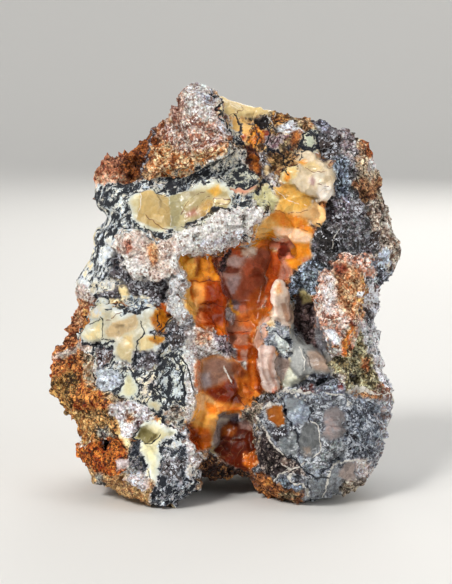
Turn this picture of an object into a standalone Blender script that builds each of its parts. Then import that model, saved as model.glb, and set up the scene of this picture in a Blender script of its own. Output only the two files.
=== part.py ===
"""Mexican opal in its matrix: a hand-sized rough stone, one solid standing on four small flat feet."""

import math

import bmesh
import bpy
import numpy as np
from mathutils import Vector, noise

MM = 0.001

# The outline and the forms of the face are given as (across, up) in mm, as seen by an eye at this
# distance and this angle above level. Nearness is mm from the middle plane toward that eye.
EYE_DISTANCE = 700.0
EYE_ANGLE = math.radians(8)
EYE_LEVEL = 66.8
MIDDLE_HEIGHT = 59.6
MIDDLE_ACROSS = -0.3
MIDDLE_BACK = 3.4
CENTRE = np.array((0.0, 64.0))

STONE_COLOUR = (0.42, 0.33, 0.24)
STONE_ROUGHNESS = 0.45
TRIANGLES = 9300
SPHERE_STEPS = 7
FRONT_EDGE_ANGLE = math.radians(22)
EDGE_ROUND = 8.0
EDGE_DROP = 9.0
BACK_ROUND = 20.0
BACK_DROP = 17.0
BACK_SHRINK = 0.94
BACK_RIM_TURN = 0.16
BACK_RIM_LOOKS = 9
SIDE_REACH = 1.3
REAR_REACH = 2.2
BAND_REACH = 1.6
RIM_INSET = 0.9995

# How far the spots of nearness hold sway: on the open face, in a form, on the back, and far from all.
SPREAD = 6.0
FORM_SPREAD = 4.2
BACK_SPREAD = 12.0
FAR_SWAY = 0.02
LUMP_FALL = 1.4

# The rough breaks: the height of each size of noise, its size and its shift; and how much of them shows.
ROUGH_BREAKS = ((1.3, 17.0, (0, 0, 0)), (0.8, 7.0, (9, 4, 2)), (0.6, 3.2, (3, 8, 5)))
ROUGHNESS = 0.55

# The way round the stone, from the peak to the right.
OUTLINE = (
    (-12.3, 129.3), (-11, 130.1), (-8, 130), (-4.5, 128.6), (0, 126.4), (4, 124.3), (9.3, 121.9),
    (13.5, 122.8), (15.5, 121.9), (21, 120), (24.5, 120.1), (27.5, 118.7), (30.5, 118.4), (33.5, 117),
    (34.3, 115.9), (36.5, 116.5), (38.8, 116.4), (39.3, 113.3), (42, 113), (44.8, 110),
    (45.9, 104.8), (46.8, 101.5),
    (46, 97.8), (48, 95), (50.3, 90.5), (50.5, 88.5), (52.3, 83.5), (53.4, 79.5), (51.6, 73.5), (49.5, 71),
    (47.6, 69), (47.3, 67), (46.3, 65), (47.2, 61.8), (46, 58.5), (46.7, 54), (46.4, 51), (47.8, 44.5),
    (50.2, 38), (51.6, 34.5), (50.4, 33), (49.2, 27), (48, 20), (46.3, 14), (42.5, 10), (39, 6.8), (34.5, 6),
    (30, 4.2), (25, 3), (21, 2.6), (16.5, 4), (12, 6.3), (8.5, 9.6), (4, 9.3), (-2, 9.8), (-7.3, 10),
    (-8.6, 7.2), (-10.5, 7), (-11.8, 4.6), (-14.6, 2.6), (-14.7, 1), (-19, 0.5), (-22, 3), (-28.5, 4),
    (-34.5, 6.2), (-38.7, 8.3), (-40.3, 10.5), (-42, 14.5), (-44, 18.2), (-42.8, 20.5), (-44, 25.5),
    (-44.8, 29.6), (-48.5, 30), (-51, 35), (-53.2, 41), (-51.6, 46), (-52.5, 47.5), (-49, 50.5), (-48, 54.5),
    (-45.4, 59), (-45, 63), (-45.8, 68), (-43.5, 72), (-41, 77.5), (-39.5, 80.5), (-40.2, 83.5), (-36, 90.2),
    (-39.2, 93), (-40.2, 99), (-40.2, 103), (-38, 106.3), (-34.5, 108.3), (-31, 109), (-28.9, 110),
    (-24, 113.8), (-20.2, 118), (-17, 118.4), (-16, 122), (-13.6, 126),
)

# Nearness at chosen spots of the face, where no form of its own is set: (across, up, nearness).
FACE_SPOTS = (
    (-10, 128, 8), (3, 124, 5), (14, 121, 5), (26, 118, 7), (38, 114, 6), (-34, 106, 5), (-21, 115, 5),
    (8, 117, 4), (6, 108, 6), (12, 108, 8), (14, 101, 12), (18, 114, 10), (24, 113, 13), (32, 110, 13),
    (-38, 97, 9), (-36, 88, 10), (-40, 78, 10), (-44, 68, 9), (-44, 58, 9), (-50, 42, 9), (-46, 34, 14),
    (-30, 40, 21), (-20, 42, 22), (-34, 48, 18), (-24, 62, 18), (-12, 40, 21), (-12, 50, 19), (-30, 88, 12),
    (46, 104, 4), (49, 92, 4), (52, 80, 4), (47, 70, 6), (45, 60, 8), (47, 48, 9), (50, 36, 12),
    (40, 100, 10), (36, 92, 15), (42, 84, 11), (32, 84, 15), (27, 78, 13), (24, 70, 11), (6, 95, 14),
    (10, 40, 12), (0, 12, 17), (12, 12, 20),
)

# Each form of the face: its outline, the nearness at spots inside it, and how far its edge spreads.
FORMS = {
    "rhyolite_peak": {
        "outline": (
            (-13, 132), (-2, 128), (-0.8, 122), (1, 116), (3.5, 110), (-3, 106), (-12, 103.5), (-20, 103.5),
            (-24.5, 101), (-22.2, 108), (-20.5, 118), (-17, 120), (-14, 128),
        ),
        "spots": ((-10, 128, 10), (-20, 110, 9), (-14, 105, 15), (1, 111, 15), (-6, 118, 13)),
        "edge": 1.0,
    },
    "rust_ledge": {
        "outline": (
            (-42, 104), (-38, 109), (-30, 112), (-20, 120), (-20.7, 117), (-22.4, 108), (-24.5, 101),
            (-30, 99), (-42, 100.5),
        ),
        "spots": ((-37, 104, 9), (-33, 106, 8), (-27, 105, 1), (-24, 110, 4), (-22, 115, 3)),
        "edge": 1.0,
    },
    "cream_hollow": {
        "outline": (
            (-30, 95), (-27, 97.5), (-12, 98), (-6, 100.5), (0, 99.5), (3, 96), (2.5, 92.5), (-3, 90.5),
            (-8, 88), (-13, 84.5), (-18, 82.5), (-24, 85), (-29, 88),
        ),
        "spots": ((-25, 93, 12), (-18, 86, 15), (-12, 94, 9), (-5, 97, 13), (0, 94, 15), (-8, 90, 17)),
        "edge": 1.2,
    },
    "sugar_ridge": {
        "outline": (
            (-32, 79), (-31, 86), (-25, 83.5), (-19, 82), (-13, 84), (-8, 87.5), (-3, 90.5), (4, 92.5),
            (9, 94.5), (13, 92), (11, 88), (8, 84), (3, 81), (0, 79), (-9, 78), (-13, 77.5), (-14, 73),
            (-17, 70.5), (-28, 71), (-30, 74),
        ),
        "spots": ((-27, 79, 20), (-18, 76, 22), (-11, 82, 25), (0, 85, 25), (8, 90, 20), (-14, 79, 25)),
        "edge": 1.2,
    },
    "white_strip": {
        "outline": (
            (-17, 72), (-13, 73), (-11.3, 70), (-12, 65), (-10.5, 60), (-9, 57.5), (-16, 58), (-17.5, 64),
        ),
        "spots": ((-14, 70, 22), (-14, 61, 21)),
        "edge": 1.0,
    },
    "dark_matrix": {
        "outline": (
            (-37, 79), (-33, 78), (-30, 73.5), (-28, 71), (-17, 70.3), (-17.5, 64.5), (-24, 64.5),
            (-30, 63.5), (-37, 64.5), (-41, 70),
        ),
        "spots": ((-35, 74, 12), (-22, 67, 16), (-32, 67, 14), (-39, 69, 10)),
        "edge": 1.2,
    },
    "cream_plateau": {
        "outline": (
            (-44, 53), (-40, 60), (-38, 64), (-30, 62), (-25, 64), (-20, 62), (-17, 56), (-17, 50),
            (-20, 47), (-26, 46), (-30, 44), (-34, 47), (-42, 50),
        ),
        "spots": ((-40, 55, 15), (-30, 57, 21), (-22, 56, 22), (-22, 49, 22), (-30, 48, 20)),
        "edge": 1.5,
    },
    "fire_pillar": {
        "outline": (
            (-13.7, 77), (-11, 79), (-2, 78.5), (-1.8, 73), (0, 68.5), (0.7, 62), (0.5, 52), (-3, 55),
            (-8.5, 57), (-10.5, 61), (-12, 65), (-11.8, 71),
        ),
        "spots": (
            (-12, 75, 13), (-11, 64, 11), (-7, 75, 15), (-6, 67, 17), (-6, 59, 15), (-1, 72, 9), (0, 60, 10),
        ),
        "edge": 1.0,
    },
    "deep_floor": {
        "outline": (
            (-2, 79), (2, 81), (8, 82.5), (12, 84.5), (15, 85), (14.5, 78), (14, 70), (13, 64), (10, 61.5),
            (6, 62), (1, 62.5), (-0.5, 69), (-2, 74),
        ),
        "spots": ((1, 77, 4), (8, 80, 5), (6, 73, 0), (11, 74, 2), (4, 65, 1), (12, 66, 4)),
        "edge": 1.3,
    },
    "red_wall": {
        "outline": (
            (15, 79), (17, 77.5), (16.5, 72), (14.5, 66), (13.5, 61), (10, 52), (9.5, 46), (7.5, 46),
            (8, 56), (12, 64), (13.5, 72),
        ),
        "spots": ((15.5, 76, 10), (13.5, 66, 8), (9, 52, 7)),
        "edge": 0.9,
    },
    "steps": {
        "outline": (
            (0.5, 62), (6, 62.5), (11.5, 62), (11, 58), (8.5, 54), (7.5, 46.5), (3, 46), (0, 48.5),
            (0.5, 53),
        ),
        "spots": ((2, 60, 5), (8, 60, 4), (3, 57, 6), (3, 52, 8), (6, 48, 10)),
        "edge": 0.9,
    },
    "opal_bulge": {
        "outline": (
            (-8, 47), (-4, 50), (0, 49), (3, 46.5), (8, 46.5), (9.6, 46), (10, 41), (12, 36), (13, 34),
            (9, 33), (6, 30.5), (0, 30), (-3, 27), (-3, 20), (-7, 17.5), (-10, 22), (-11.5, 26.5), (-8, 31),
            (-7.5, 38),
        ),
        "spots": (
            (-4, 43, 16), (2, 44, 14), (8, 40, 9), (-4, 35, 15), (4, 34, 13), (-7, 26, 14), (-5, 20, 11),
        ),
        "edge": 1.5,
    },
    "red_foot": {
        "outline": (
            (-3, 28), (0, 30), (5, 30), (9, 26.5), (11, 20), (11, 14), (9, 8), (4, 8), (0, 15), (-6, 17.5),
            (-3, 21),
        ),
        "spots": ((0, 26, 8), (4, 25, 7), (7, 20, 11), (3, 17, 12), (8, 12, 17), (-3, 18, 7)),
        "edge": 1.2,
    },
    "orange_blocks": {
        "outline": (
            (8, 84.5), (10, 88), (14, 91.5), (15, 97), (20, 100), (27, 95.5), (30, 93), (30.5, 89), (28, 87),
            (26.5, 85), (26.5, 79), (25, 74.5), (21, 73), (17.5, 76), (15, 84),
        ),
        "spots": (
            (12, 86, 13), (18, 92, 13), (22, 97, 16), (27, 90, 18), (23, 86, 14), (25, 79, 14), (22, 75, 12),
        ),
        "edge": 1.0,
    },
    "cave": {
        "outline": ((14.6, 83), (19, 82.5), (21, 79.5), (21.3, 77), (18, 77), (16.3, 78)),
        "spots": ((17, 80.5, 3), (20, 78.3, 2)),
        "edge": 0.9,
    },
    "cream_knobs": {
        "outline": (
            (17, 103), (22, 109.5), (26, 109), (33, 104.5), (33.7, 99), (32, 95), (30, 93.5), (26, 96),
            (20, 99.5), (17, 100),
        ),
        "spots": ((21, 103, 16), (29, 100, 20), (26, 98, 17), (25, 106, 16), (30, 95, 16)),
        "edge": 1.2,
    },
    "pink_rib": {
        "outline": (
            (15.5, 71), (18, 71.3), (20.5, 67), (21, 60), (20, 57), (16, 58.5), (12.5, 57), (12, 53),
            (8.5, 50), (10, 53), (13.5, 61), (14.3, 67),
        ),
        "spots": ((17.5, 69, 15), (18, 62, 18), (14, 59, 15), (11, 53, 12)),
        "edge": 1.0,
    },
    "pink_shell": {
        "outline": (
            (12.5, 50.5), (15.5, 49), (15.7, 44), (17.3, 39.5), (17, 36), (13.5, 34), (11, 38), (9.8, 43),
            (10, 48),
        ),
        "spots": ((13.5, 46, 17), (14, 40, 17), (10.5, 43, 13)),
        "edge": 0.9,
    },
    "grey_saddle": {
        "outline": (
            (15, 57), (20, 57), (25, 51), (30, 48), (33, 44), (32, 40.5), (24, 41), (17.5, 37.5), (15.7, 45),
            (15.6, 49.5), (12.5, 51), (12, 55),
        ),
        "spots": ((18, 54, 17), (22, 48, 13), (28, 46, 17), (17.5, 44, 10), (21, 41, 15), (25, 43, 17)),
        "edge": 1.0,
    },
    "dark_pocket": {
        "outline": ((20.5, 66), (27, 65), (28, 58), (27, 52), (24.5, 51.5), (22, 56), (20.7, 61)),
        "spots": ((24.5, 58, 7), (24.5, 65, 10)),
        "edge": 1.1,
    },
    "rhyolite_wedge": {
        "outline": (
            (28, 70), (33, 76), (38, 78), (43, 78.5), (45, 74.5), (42.5, 68), (40.8, 60), (39.5, 55),
            (38.7, 47), (36, 46), (32, 49), (30, 54), (28.5, 59), (27.5, 65),
        ),
        "spots": ((34, 73, 19), (42, 75, 15), (34, 62, 22), (38.5, 60, 20), (33, 53, 20), (37, 49, 17)),
        "edge": 1.0,
    },
    "crust_hollow": {
        "outline": ((32.5, 46), (38, 47), (42, 49), (46, 44), (48.5, 38), (44, 36.7), (38, 37.2), (34, 41)),
        "spots": ((37, 43, 13), (44, 41, 8)),
        "edge": 1.0,
    },
    "right_lobe": {
        "outline": (
            (8, 34), (13, 32.5), (17, 35.5), (20, 37.3), (27, 36.8), (32, 40), (37, 38), (44, 36.4),
            (54, 37), (54, 28), (52, 14), (42, 4), (28, 1), (14, 1), (8.5, 9), (11, 14), (11, 20),
            (9, 27), (6, 31),
        ),
        "spots": (
            (13, 30, 17), (22, 34, 22), (32, 37, 19), (48, 34, 13), (20, 22, 27), (32, 26, 30), (42, 24, 25),
            (26, 12, 29), (14, 12, 21), (38, 12, 25), (22, 4, 26), (46, 15, 19),
        ),
        "edge": 1.3,
    },
    "left_lobe": {
        "outline": (
            (-48, 29), (-42, 29), (-35, 34), (-30, 33), (-22, 30), (-14, 25.5), (-8.5, 20.5), (-7, 14),
            (-8, 7), (-12, -1), (-22, -1), (-44, 6), (-47, 20),
        ),
        "spots": (
            (-42, 24, 15), (-30, 28, 23), (-20, 24, 27), (-11, 16, 28), (-13, 7, 30), (-18, 2, 31),
            (-26, 10, 29), (-35, 10, 22), (-42, 15, 16), (-22, 15, 27),
        ),
        "edge": 1.2,
    },
}

# Lumps, and pits where the height is below zero: (across, up, half width, half height, height).
LUMPS = (
    (-40, 34, 6.5, 5, 4.5), (-35, 18, 7, 6, 3), (-36, 19.5, 2, 2.4, -5), (-30.5, 14, 3, 2, 2.5),
    (29, 99, 4.2, 4.5, 2.5), (22, 102.5, 4, 3.5, 1.5), (-24.5, 22.5, 4, 3, -3.5), (-35, 39.5, 3.5, 3, 1.5),
    (-20, 60, 2.5, 3.5, -1.5), (-48.5, 52, 3.5, 3, 2.5), (-50, 43, 3.5, 5, 2.5), (-36, 105, 4, 3, 2.5),
    (-27, 104.5, 4, 3, -2.5), (8, 119, 4, 2.2, -4), (7.5, 106, 3, 5, -3), (40, 41, 2.5, 3, -3),
    (37, 115, 2.5, 2.5, 1.5), (17, 29.5, 3.5, 3, -1.5), (-5, 70, 6, 0.9, -1.6), (-5, 62.3, 6, 0.9, -1.6),
)

# The back, unseen: nearness spots of a crust that is rounder than the face, and its lumps.
BACK_SPOTS = (
    (-12, 122, -14), (14, 116, -17), (34, 110, -14), (-32, 100, -15), (0, 98, -26), (38, 88, -20),
    (-28, 78, -25), (6, 76, -30), (36, 64, -25), (-42, 58, -19), (-14, 54, -31), (18, 48, -33),
    (-36, 34, -26), (40, 34, -26), (-8, 30, -34), (22, 20, -34), (-26, 14, -32), (0, 8, -28),
)
BACK_LUMPS = (
    (-24, 92, 12, 9, 3.5), (18, 100, 11, 8, 3), (30, 76, 9, 13, 3.5), (-12, 70, 15, 8, 3),
    (-34, 46, 9, 11, 3), (8, 56, 9, 12, -3.5), (26, 38, 13, 9, 3.5), (-16, 22, 12, 10, 3),
    (10, 88, 8, 9, -3), (40, 50, 8, 8, -2.5),
)

# The breaks of the sides and back: flat ones, and shallow dishes with sharp edges between them.
BREAK_SEED = 11
FLAT_BREAKS = 46
FLAT_BREAK_DEPTH = (0.5, 2.2)
FLAT_BREAK_MOST = 4.5
FLAT_BREAK_TILT = 0.18
FLAT_BREAK_REACH = 22.0
FLAT_BREAK_REAR = 0.6
FLAT_BREAK_EDGE = 3.0
DISHES = 260
DISH_CURVE = 16.0
DISH_DEPTH = 2.6
FACE_DISHES = 0.45

# The underside: its clearance above the ground, less toward the front, the arch between the two front
# lobes as (across, half width, rise), and the feet as (across, back, half width, half depth).
CLEARANCE = 5.2
FRONT_CLEARANCE = 2.6
FRONT_CLEARANCE_BACK = -20.0
FRONT_CLEARANCE_RUN = 14.0
ARCH = (0.5, 9.0, 6.4)
ARCH_EDGE = 1.6
FOOT_SINK = 3.0
FEET = ((-18, -25, 8, 8), (24, -18, 10, 9), (-25, 16, 9, 9), (26, 17, 9, 9))
FLOOR_BLOCK = (0.3, 0.3, 0.02)


def smooth_step(value):
    value = np.clip(value, 0.0, 1.0)
    return value * value * (3 - 2 * value)


def outline_distance(points, outline):
    """How far each point lies inside the closed outline, in mm; below zero outside it."""
    corners = np.array(outline, float)
    nearest = np.full(len(points), np.inf)
    inside = np.zeros(len(points), bool)
    for a, b in zip(corners, np.roll(corners, -1, axis=0)):
        side = b - a
        along = np.clip((points - a) @ side / (side @ side), 0.0, 1.0)
        nearest = np.minimum(nearest, np.hypot(*(points - a - along[:, None] * side).T))
        crosses = (a[1] > points[:, 1]) != (b[1] > points[:, 1])
        if a[1] != b[1]:
            at = a[0] + (points[:, 1] - a[1]) * side[0] / side[1]
            inside ^= crosses & (points[:, 0] < at)
    return np.where(inside, nearest, -nearest)


def spot_surface(points, spots, spread):
    """The nearness between the given spots, each spot holding sway around itself."""
    total = np.zeros(len(points))
    weight = np.zeros(len(points))
    for across, up, near in spots:
        square = (points[:, 0] - across) ** 2 + (points[:, 1] - up) ** 2
        sway = np.exp(-square / (2 * spread**2)) + FAR_SWAY / (1 + square)
        total += sway * near
        weight += sway
    return total / weight


def lump_height(points, lumps):
    total = np.zeros(len(points))
    for across, up, half_width, half_height, height in lumps:
        square = ((points[:, 0] - across) / half_width) ** 2 + ((points[:, 1] - up) / half_height) ** 2
        total += height * np.exp(-square * LUMP_FALL)
    return total


def edge_fall(inside, width, drop):
    """The quarter-round fall toward the rim, from the distance inside the outline."""
    reach = 1 - np.clip(inside / width, 0.0, 1.0)
    return drop * (1 - np.sqrt(1 - reach**2))


def face_nearness(points):
    near = spot_surface(points, FACE_SPOTS, SPREAD)
    for form in FORMS.values():
        inside = outline_distance(points, form["outline"])
        share = smooth_step(0.5 + inside / (2 * form["edge"]))
        near += share * (spot_surface(points, form["spots"], FORM_SPREAD) - near)
    near += lump_height(points, LUMPS)
    return near - edge_fall(outline_distance(points, OUTLINE), EDGE_ROUND, EDGE_DROP)


def back_nearness(points):
    near = spot_surface(points, BACK_SPOTS, BACK_SPREAD) - lump_height(points, BACK_LUMPS)
    return near + edge_fall(outline_distance(points, OUTLINE), BACK_ROUND, BACK_DROP)


def outline_reach(angles):
    """How far the outline lies from the centre in each direction."""
    corners = np.array(OUTLINE) - CENTRE
    reach = np.zeros(len(angles))
    ways = np.column_stack((np.cos(angles), np.sin(angles)))
    for a, b in zip(corners, np.roll(corners, -1, axis=0)):
        side = b - a
        cross = ways[:, 0] * side[1] - ways[:, 1] * side[0]
        cross = np.where(np.abs(cross) < 1e-9, 1e-9, cross)
        far = (a[0] * side[1] - a[1] * side[0]) / cross
        along = (a[0] * ways[:, 1] - a[1] * ways[:, 0]) / cross
        hit = (along >= -1e-6) & (along <= 1 + 1e-6) & (far > 0)
        reach = np.where(hit, np.maximum(reach, far), reach)
    return reach


def to_world(across, up, near):
    """From the eye's view to the stone's own frame, in mm."""
    scale = (EYE_DISTANCE - near) / EYE_DISTANCE
    rise = (up - EYE_LEVEL) * scale
    cos, sin = math.cos(EYE_ANGLE), math.sin(EYE_ANGLE)
    return np.column_stack(
        (
            MIDDLE_ACROSS + across * scale,
            MIDDLE_BACK + rise * sin - near * cos,
            MIDDLE_HEIGHT + rise * cos + near * sin,
        )
    )


def lift_underside(world):
    """Keeps the underside clear of the ground except at the feet."""
    back = smooth_step((world[:, 1] - FRONT_CLEARANCE_BACK) / FRONT_CLEARANCE_RUN)
    clearance = FRONT_CLEARANCE + (CLEARANCE - FRONT_CLEARANCE) * back
    pressed = np.zeros(len(world))
    for across, deep, half_width, half_depth in FEET:
        square = ((world[:, 0] - across) / half_width) ** 2 + ((world[:, 1] - deep) / half_depth) ** 2
        pressed = np.maximum(pressed, np.exp(-square))
    across, half_width, rise = ARCH
    arch = smooth_step(ARCH_EDGE - np.abs(world[:, 0] - across) / half_width)
    clearance = np.maximum(clearance, rise * arch)
    floor = clearance - (clearance + FOOT_SINK) * pressed
    world[:, 2] = np.maximum(world[:, 2], floor)


def grain(world):
    """Rough breaks all over the stone: broad ones, chips, and a crumb."""
    moved = np.zeros(len(world))
    for row, point in enumerate(world):
        place = Vector(point)
        for height, size, shift in ROUGH_BREAKS:
            moved[row] += height * noise.noise(place / size + Vector(shift))
    return moved


def dish_depth(world):
    """Shallow dishes that meet in sharp edges, each around its own middle."""
    chance = np.random.default_rng(BREAK_SEED)
    low, high = world.min(axis=0), world.max(axis=0)
    middles = low + (high - low) * chance.random((DISHES, 3))
    nearest = np.full(len(world), np.inf)
    for middle in middles:
        nearest = np.minimum(nearest, ((world - middle) ** 2).sum(axis=1))
    return np.minimum(nearest / (2 * DISH_CURVE), DISH_DEPTH) - DISH_DEPTH / 2


def break_flat(world, rear):
    """Cuts bulges of the sides and back down to flat breaks; rear is 0 on the face and 1 on the back."""
    chance = np.random.default_rng(BREAK_SEED + 1)
    middle = (world.max(axis=0) + world.min(axis=0)) / 2
    half_sizes = (world.max(axis=0) - world.min(axis=0)) / 2
    starts = world[chance.choice(np.flatnonzero(rear > FLAT_BREAK_REAR), FLAT_BREAKS)]
    broken = world.copy()
    for at in starts:
        facing = (at - middle) / half_sizes**2
        facing = facing / np.linalg.norm(facing) + chance.normal(size=3) * FLAT_BREAK_TILT
        facing /= np.linalg.norm(facing)
        above = np.maximum(0, (broken - at) @ facing + chance.uniform(*FLAT_BREAK_DEPTH))
        around = np.linalg.norm(world - at, axis=1) / FLAT_BREAK_REACH
        broken -= (above * smooth_step(FLAT_BREAK_EDGE * (1 - around)))[:, None] * facing
    moved = broken - world
    length = np.linalg.norm(moved, axis=1)
    share = rear * np.minimum(1, FLAT_BREAK_MOST / np.maximum(length, FLAT_BREAK_MOST))
    return world + moved * share[:, None]


def stone_points(ways):
    """Moves the points of a ball, given as unit directions, onto the stone."""
    angle = np.arctan2(ways[:, 2], ways[:, 0])
    height = np.arcsin(np.clip(-ways[:, 1], -1, 1))
    reach = outline_reach(angle)
    way = np.column_stack((np.cos(angle), np.sin(angle)))
    edge = FRONT_EDGE_ANGLE
    front, back = height > edge, height < -edge

    def share(lean):
        return np.sin((math.pi / 2 - lean) / 2) / math.sin((math.pi / 2 - edge) / 2)

    turns = np.linspace(-BACK_RIM_TURN, BACK_RIM_TURN, BACK_RIM_LOOKS)
    smooth = np.mean([outline_reach(angle + turn) for turn in turns], axis=0)
    rear_reach = np.minimum(smooth, reach) * BACK_SHRINK
    part_way = np.clip((edge - height) / (2 * edge), 0, 1)
    band_reach = reach + (rear_reach - reach) * smooth_step(part_way * BAND_REACH)
    ratio = np.where(front, share(height), np.where(back, share(-height), 1.0))
    radius = np.where(front, reach * ratio, np.where(back, rear_reach * ratio, band_reach))
    flat = CENTRE + way * radius[:, None]
    rim = CENTRE + way * (reach * RIM_INSET)[:, None]
    rear_rim = CENTRE + way * rear_reach[:, None]
    band = face_nearness(rim) * (1 - part_way) + back_nearness(rear_rim) * part_way
    near = np.where(front, face_nearness(flat), np.where(back, back_nearness(flat), band))
    world = to_world(flat[:, 0], flat[:, 1], near)
    toward_eye = np.array((0, -math.cos(EYE_ANGLE), math.sin(EYE_ANGLE)))
    rear = smooth_step(part_way * REAR_REACH)
    strength = ROUGHNESS * grain(world) + (FACE_DISHES + (1 - FACE_DISHES) * rear) * dish_depth(world)
    inward = -np.abs(strength)
    side = smooth_step(1 - np.abs(height) / (edge * SIDE_REACH))
    world += (strength * np.sign(height) * (1 - side))[:, None] * toward_eye
    world[:, 0] += way[:, 0] * inward * side * rear
    world[:, 2] += way[:, 1] * inward * side * rear
    world = break_flat(world, rear)
    lift_underside(world)
    return world * MM


def principled(name, colour, roughness):
    material = bpy.data.materials.new(name)
    material.use_nodes = True
    shader = material.node_tree.nodes["Principled BSDF"]
    shader.inputs["Base Color"].default_value = (*colour, 1)
    shader.inputs["Roughness"].default_value = roughness
    shader.inputs["Metallic"].default_value = 0.0
    return material


def make_stone(collection):
    shape = bmesh.new()
    bmesh.ops.create_icosphere(shape, subdivisions=SPHERE_STEPS, radius=1)
    ways = np.array([vertex.co for vertex in shape.verts])
    ways /= np.linalg.norm(ways, axis=1)[:, None]
    for vertex, place in zip(shape.verts, stone_points(ways)):
        vertex.co = place
    mesh = bpy.data.meshes.new("opal_rough")
    shape.to_mesh(mesh)
    shape.free()
    stone = bpy.data.objects.new("opal_rough", mesh)
    collection.objects.link(stone)
    mesh.materials.append(principled("opal in matrix", STONE_COLOUR, STONE_ROUGHNESS))
    fewer = stone.modifiers.new("fewer faces", "DECIMATE")
    fewer.ratio = TRIANGLES / len(mesh.polygons)
    return stone


def make_floor_cut(collection, stone):
    bpy.ops.mesh.primitive_cube_add(size=1, location=(0, 0, -FLOOR_BLOCK[2] / 2))
    block = bpy.context.object
    block.name = "ground_cut"
    block.scale = FLOOR_BLOCK
    for holder in list(block.users_collection):
        holder.objects.unlink(block)
    collection.objects.link(block)
    block.hide_render = True
    block.display_type = "WIRE"
    cut = stone.modifiers.new("flat feet", "BOOLEAN")
    cut.operation = "DIFFERENCE"
    cut.solver = "EXACT"
    cut.object = block


def main():
    for thing in list(bpy.data.objects):
        bpy.data.objects.remove(thing, do_unlink=True)
    parts = bpy.data.collections.new("mexican opal")
    cutters = bpy.data.collections.new("cutters")
    for collection in (parts, cutters):
        bpy.context.scene.collection.children.link(collection)
    make_floor_cut(cutters, make_stone(parts))


main()
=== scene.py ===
import math

import bmesh
import bpy
import numpy as np
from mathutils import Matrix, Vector, noise


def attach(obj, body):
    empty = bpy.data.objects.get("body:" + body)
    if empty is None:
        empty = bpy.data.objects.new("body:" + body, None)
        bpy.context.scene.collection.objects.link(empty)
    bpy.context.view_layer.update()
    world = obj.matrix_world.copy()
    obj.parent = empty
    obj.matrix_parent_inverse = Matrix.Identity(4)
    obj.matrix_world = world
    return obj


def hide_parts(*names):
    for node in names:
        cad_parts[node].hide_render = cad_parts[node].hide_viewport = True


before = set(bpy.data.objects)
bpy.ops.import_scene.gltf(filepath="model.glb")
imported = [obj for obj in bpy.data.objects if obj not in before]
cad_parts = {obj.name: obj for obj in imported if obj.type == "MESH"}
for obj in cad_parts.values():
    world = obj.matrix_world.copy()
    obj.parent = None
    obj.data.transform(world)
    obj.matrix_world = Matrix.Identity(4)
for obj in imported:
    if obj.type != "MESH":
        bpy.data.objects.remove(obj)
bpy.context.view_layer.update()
print("stone: frame loaded")

mm = 0.001   # lengths below are millimetres unless a name says otherwise

# Where the face of the stone is looked at from. Every outline below is drawn in this view,
# across and up from the foot of the stone, and "near" is the depth toward the eye.
faceView = {
    "distance": 700.0,
    "angle": 8.0,          # degrees down
    "level": 66.8,
    "middle": (-0.3, 3.4, 59.6),
    "aimAcross": 0.457,
    "tallSide": 177.8,     # height of the picture, measured at the stone
    "sensor": 36.0,
}

tilt = math.radians(faceView["angle"])
eyeWay = np.array((0.0, -math.cos(tilt), math.sin(tilt)))
upWay = np.array((0.0, math.sin(tilt), math.cos(tilt)))


def facePlaces(points):
    away = points - np.array(faceView["middle"])
    near = away @ eyeWay
    shrink = (faceView["distance"] - near) / faceView["distance"]
    across = away[:, 0] / shrink
    up = faceView["level"] + (away @ upWay) / shrink
    return np.column_stack((across, up)), near


def smoothStep(low, high, value):
    share = np.clip((value - low) / (high - low), 0.0, 1.0)
    return share * share * (3.0 - 2.0 * share)


def wander(points, size, depth, seed):
    # soft noise of about -1 to 1, one value for each point
    shift = Vector((seed * 17.3, seed * -9.1, seed * 5.7))
    return np.array([noise.fractal(Vector(p) / size + shift, 0.7, 2.1, depth) for p in points.tolist()])


def crumbs(points, size, seed):
    # distance from each point to the middle of its nearest crumb, about 0 to 1
    shift = Vector((seed * 11.9, seed * 3.3, seed * -7.7))
    return np.array([noise.voronoi(Vector(p) / size + shift)[0][0] for p in points.tolist()])


def chips(points, size, seed):
    # heights of broken facets: each cell is cut along a plane of its own, steps of about size / 4
    shift = Vector((seed * 5.1, seed * 8.3, seed * -6.9))
    heights = []
    for p in points.tolist():
        place = Vector(p) / size + shift
        middle = noise.voronoi(place)[1][0]
        heights.append((place - middle).dot(noise.cell_vector(middle * 9.7) - Vector((0.5, 0.5, 0.5))))
    return np.array(heights) * size


def gapTo(places, start, side):
    # from a straight line to each place: the place seen from its start, and the squared distance
    away = places - start
    share = np.clip((away @ side) / max(side @ side, 1e-9), 0.0, 1.0)
    gap = away - share[:, None] * side
    return away, (gap * gap).sum(axis=1)


def edgeDepth(places, outline):
    # how deep inside a closed outline each place lies, negative outside
    inside = np.zeros(len(places), bool)
    nearest = np.full(len(places), 1e9)
    for start, end in zip(outline, np.roll(outline, -1, axis=0)):
        side = end - start
        away, squared = gapTo(places, start, side)
        nearest = np.minimum(nearest, squared)
        if side[1] != 0:
            crosses = (start[1] > places[:, 1]) != (end[1] > places[:, 1])
            inside ^= crosses & (places[:, 0] < start[0] + side[0] * away[:, 1] / side[1])
    depth = np.sqrt(nearest)
    return np.where(inside, depth, -depth)


def lineSide(places, path):
    # distance to an open line, positive on its left and negative on its right
    nearest = np.full(len(places), 1e9)
    signed = np.full(len(places), 1e4)
    for start, end in zip(path[:-1], path[1:]):
        side = end - start
        away, squared = gapTo(places, start, side)
        distance = np.sqrt(squared)
        turn = np.where(side[0] * away[:, 1] - side[1] * away[:, 0] < 0, -1.0, 1.0)
        closer = distance < nearest
        nearest[closer] = distance[closer]
        signed[closer] = (distance * turn)[closer]
    return signed


def numbers(text):
    # "1,2 3,4" as rows of numbers
    return np.array([[float(word) for word in row.split(",")] for row in text.split()])


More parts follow.
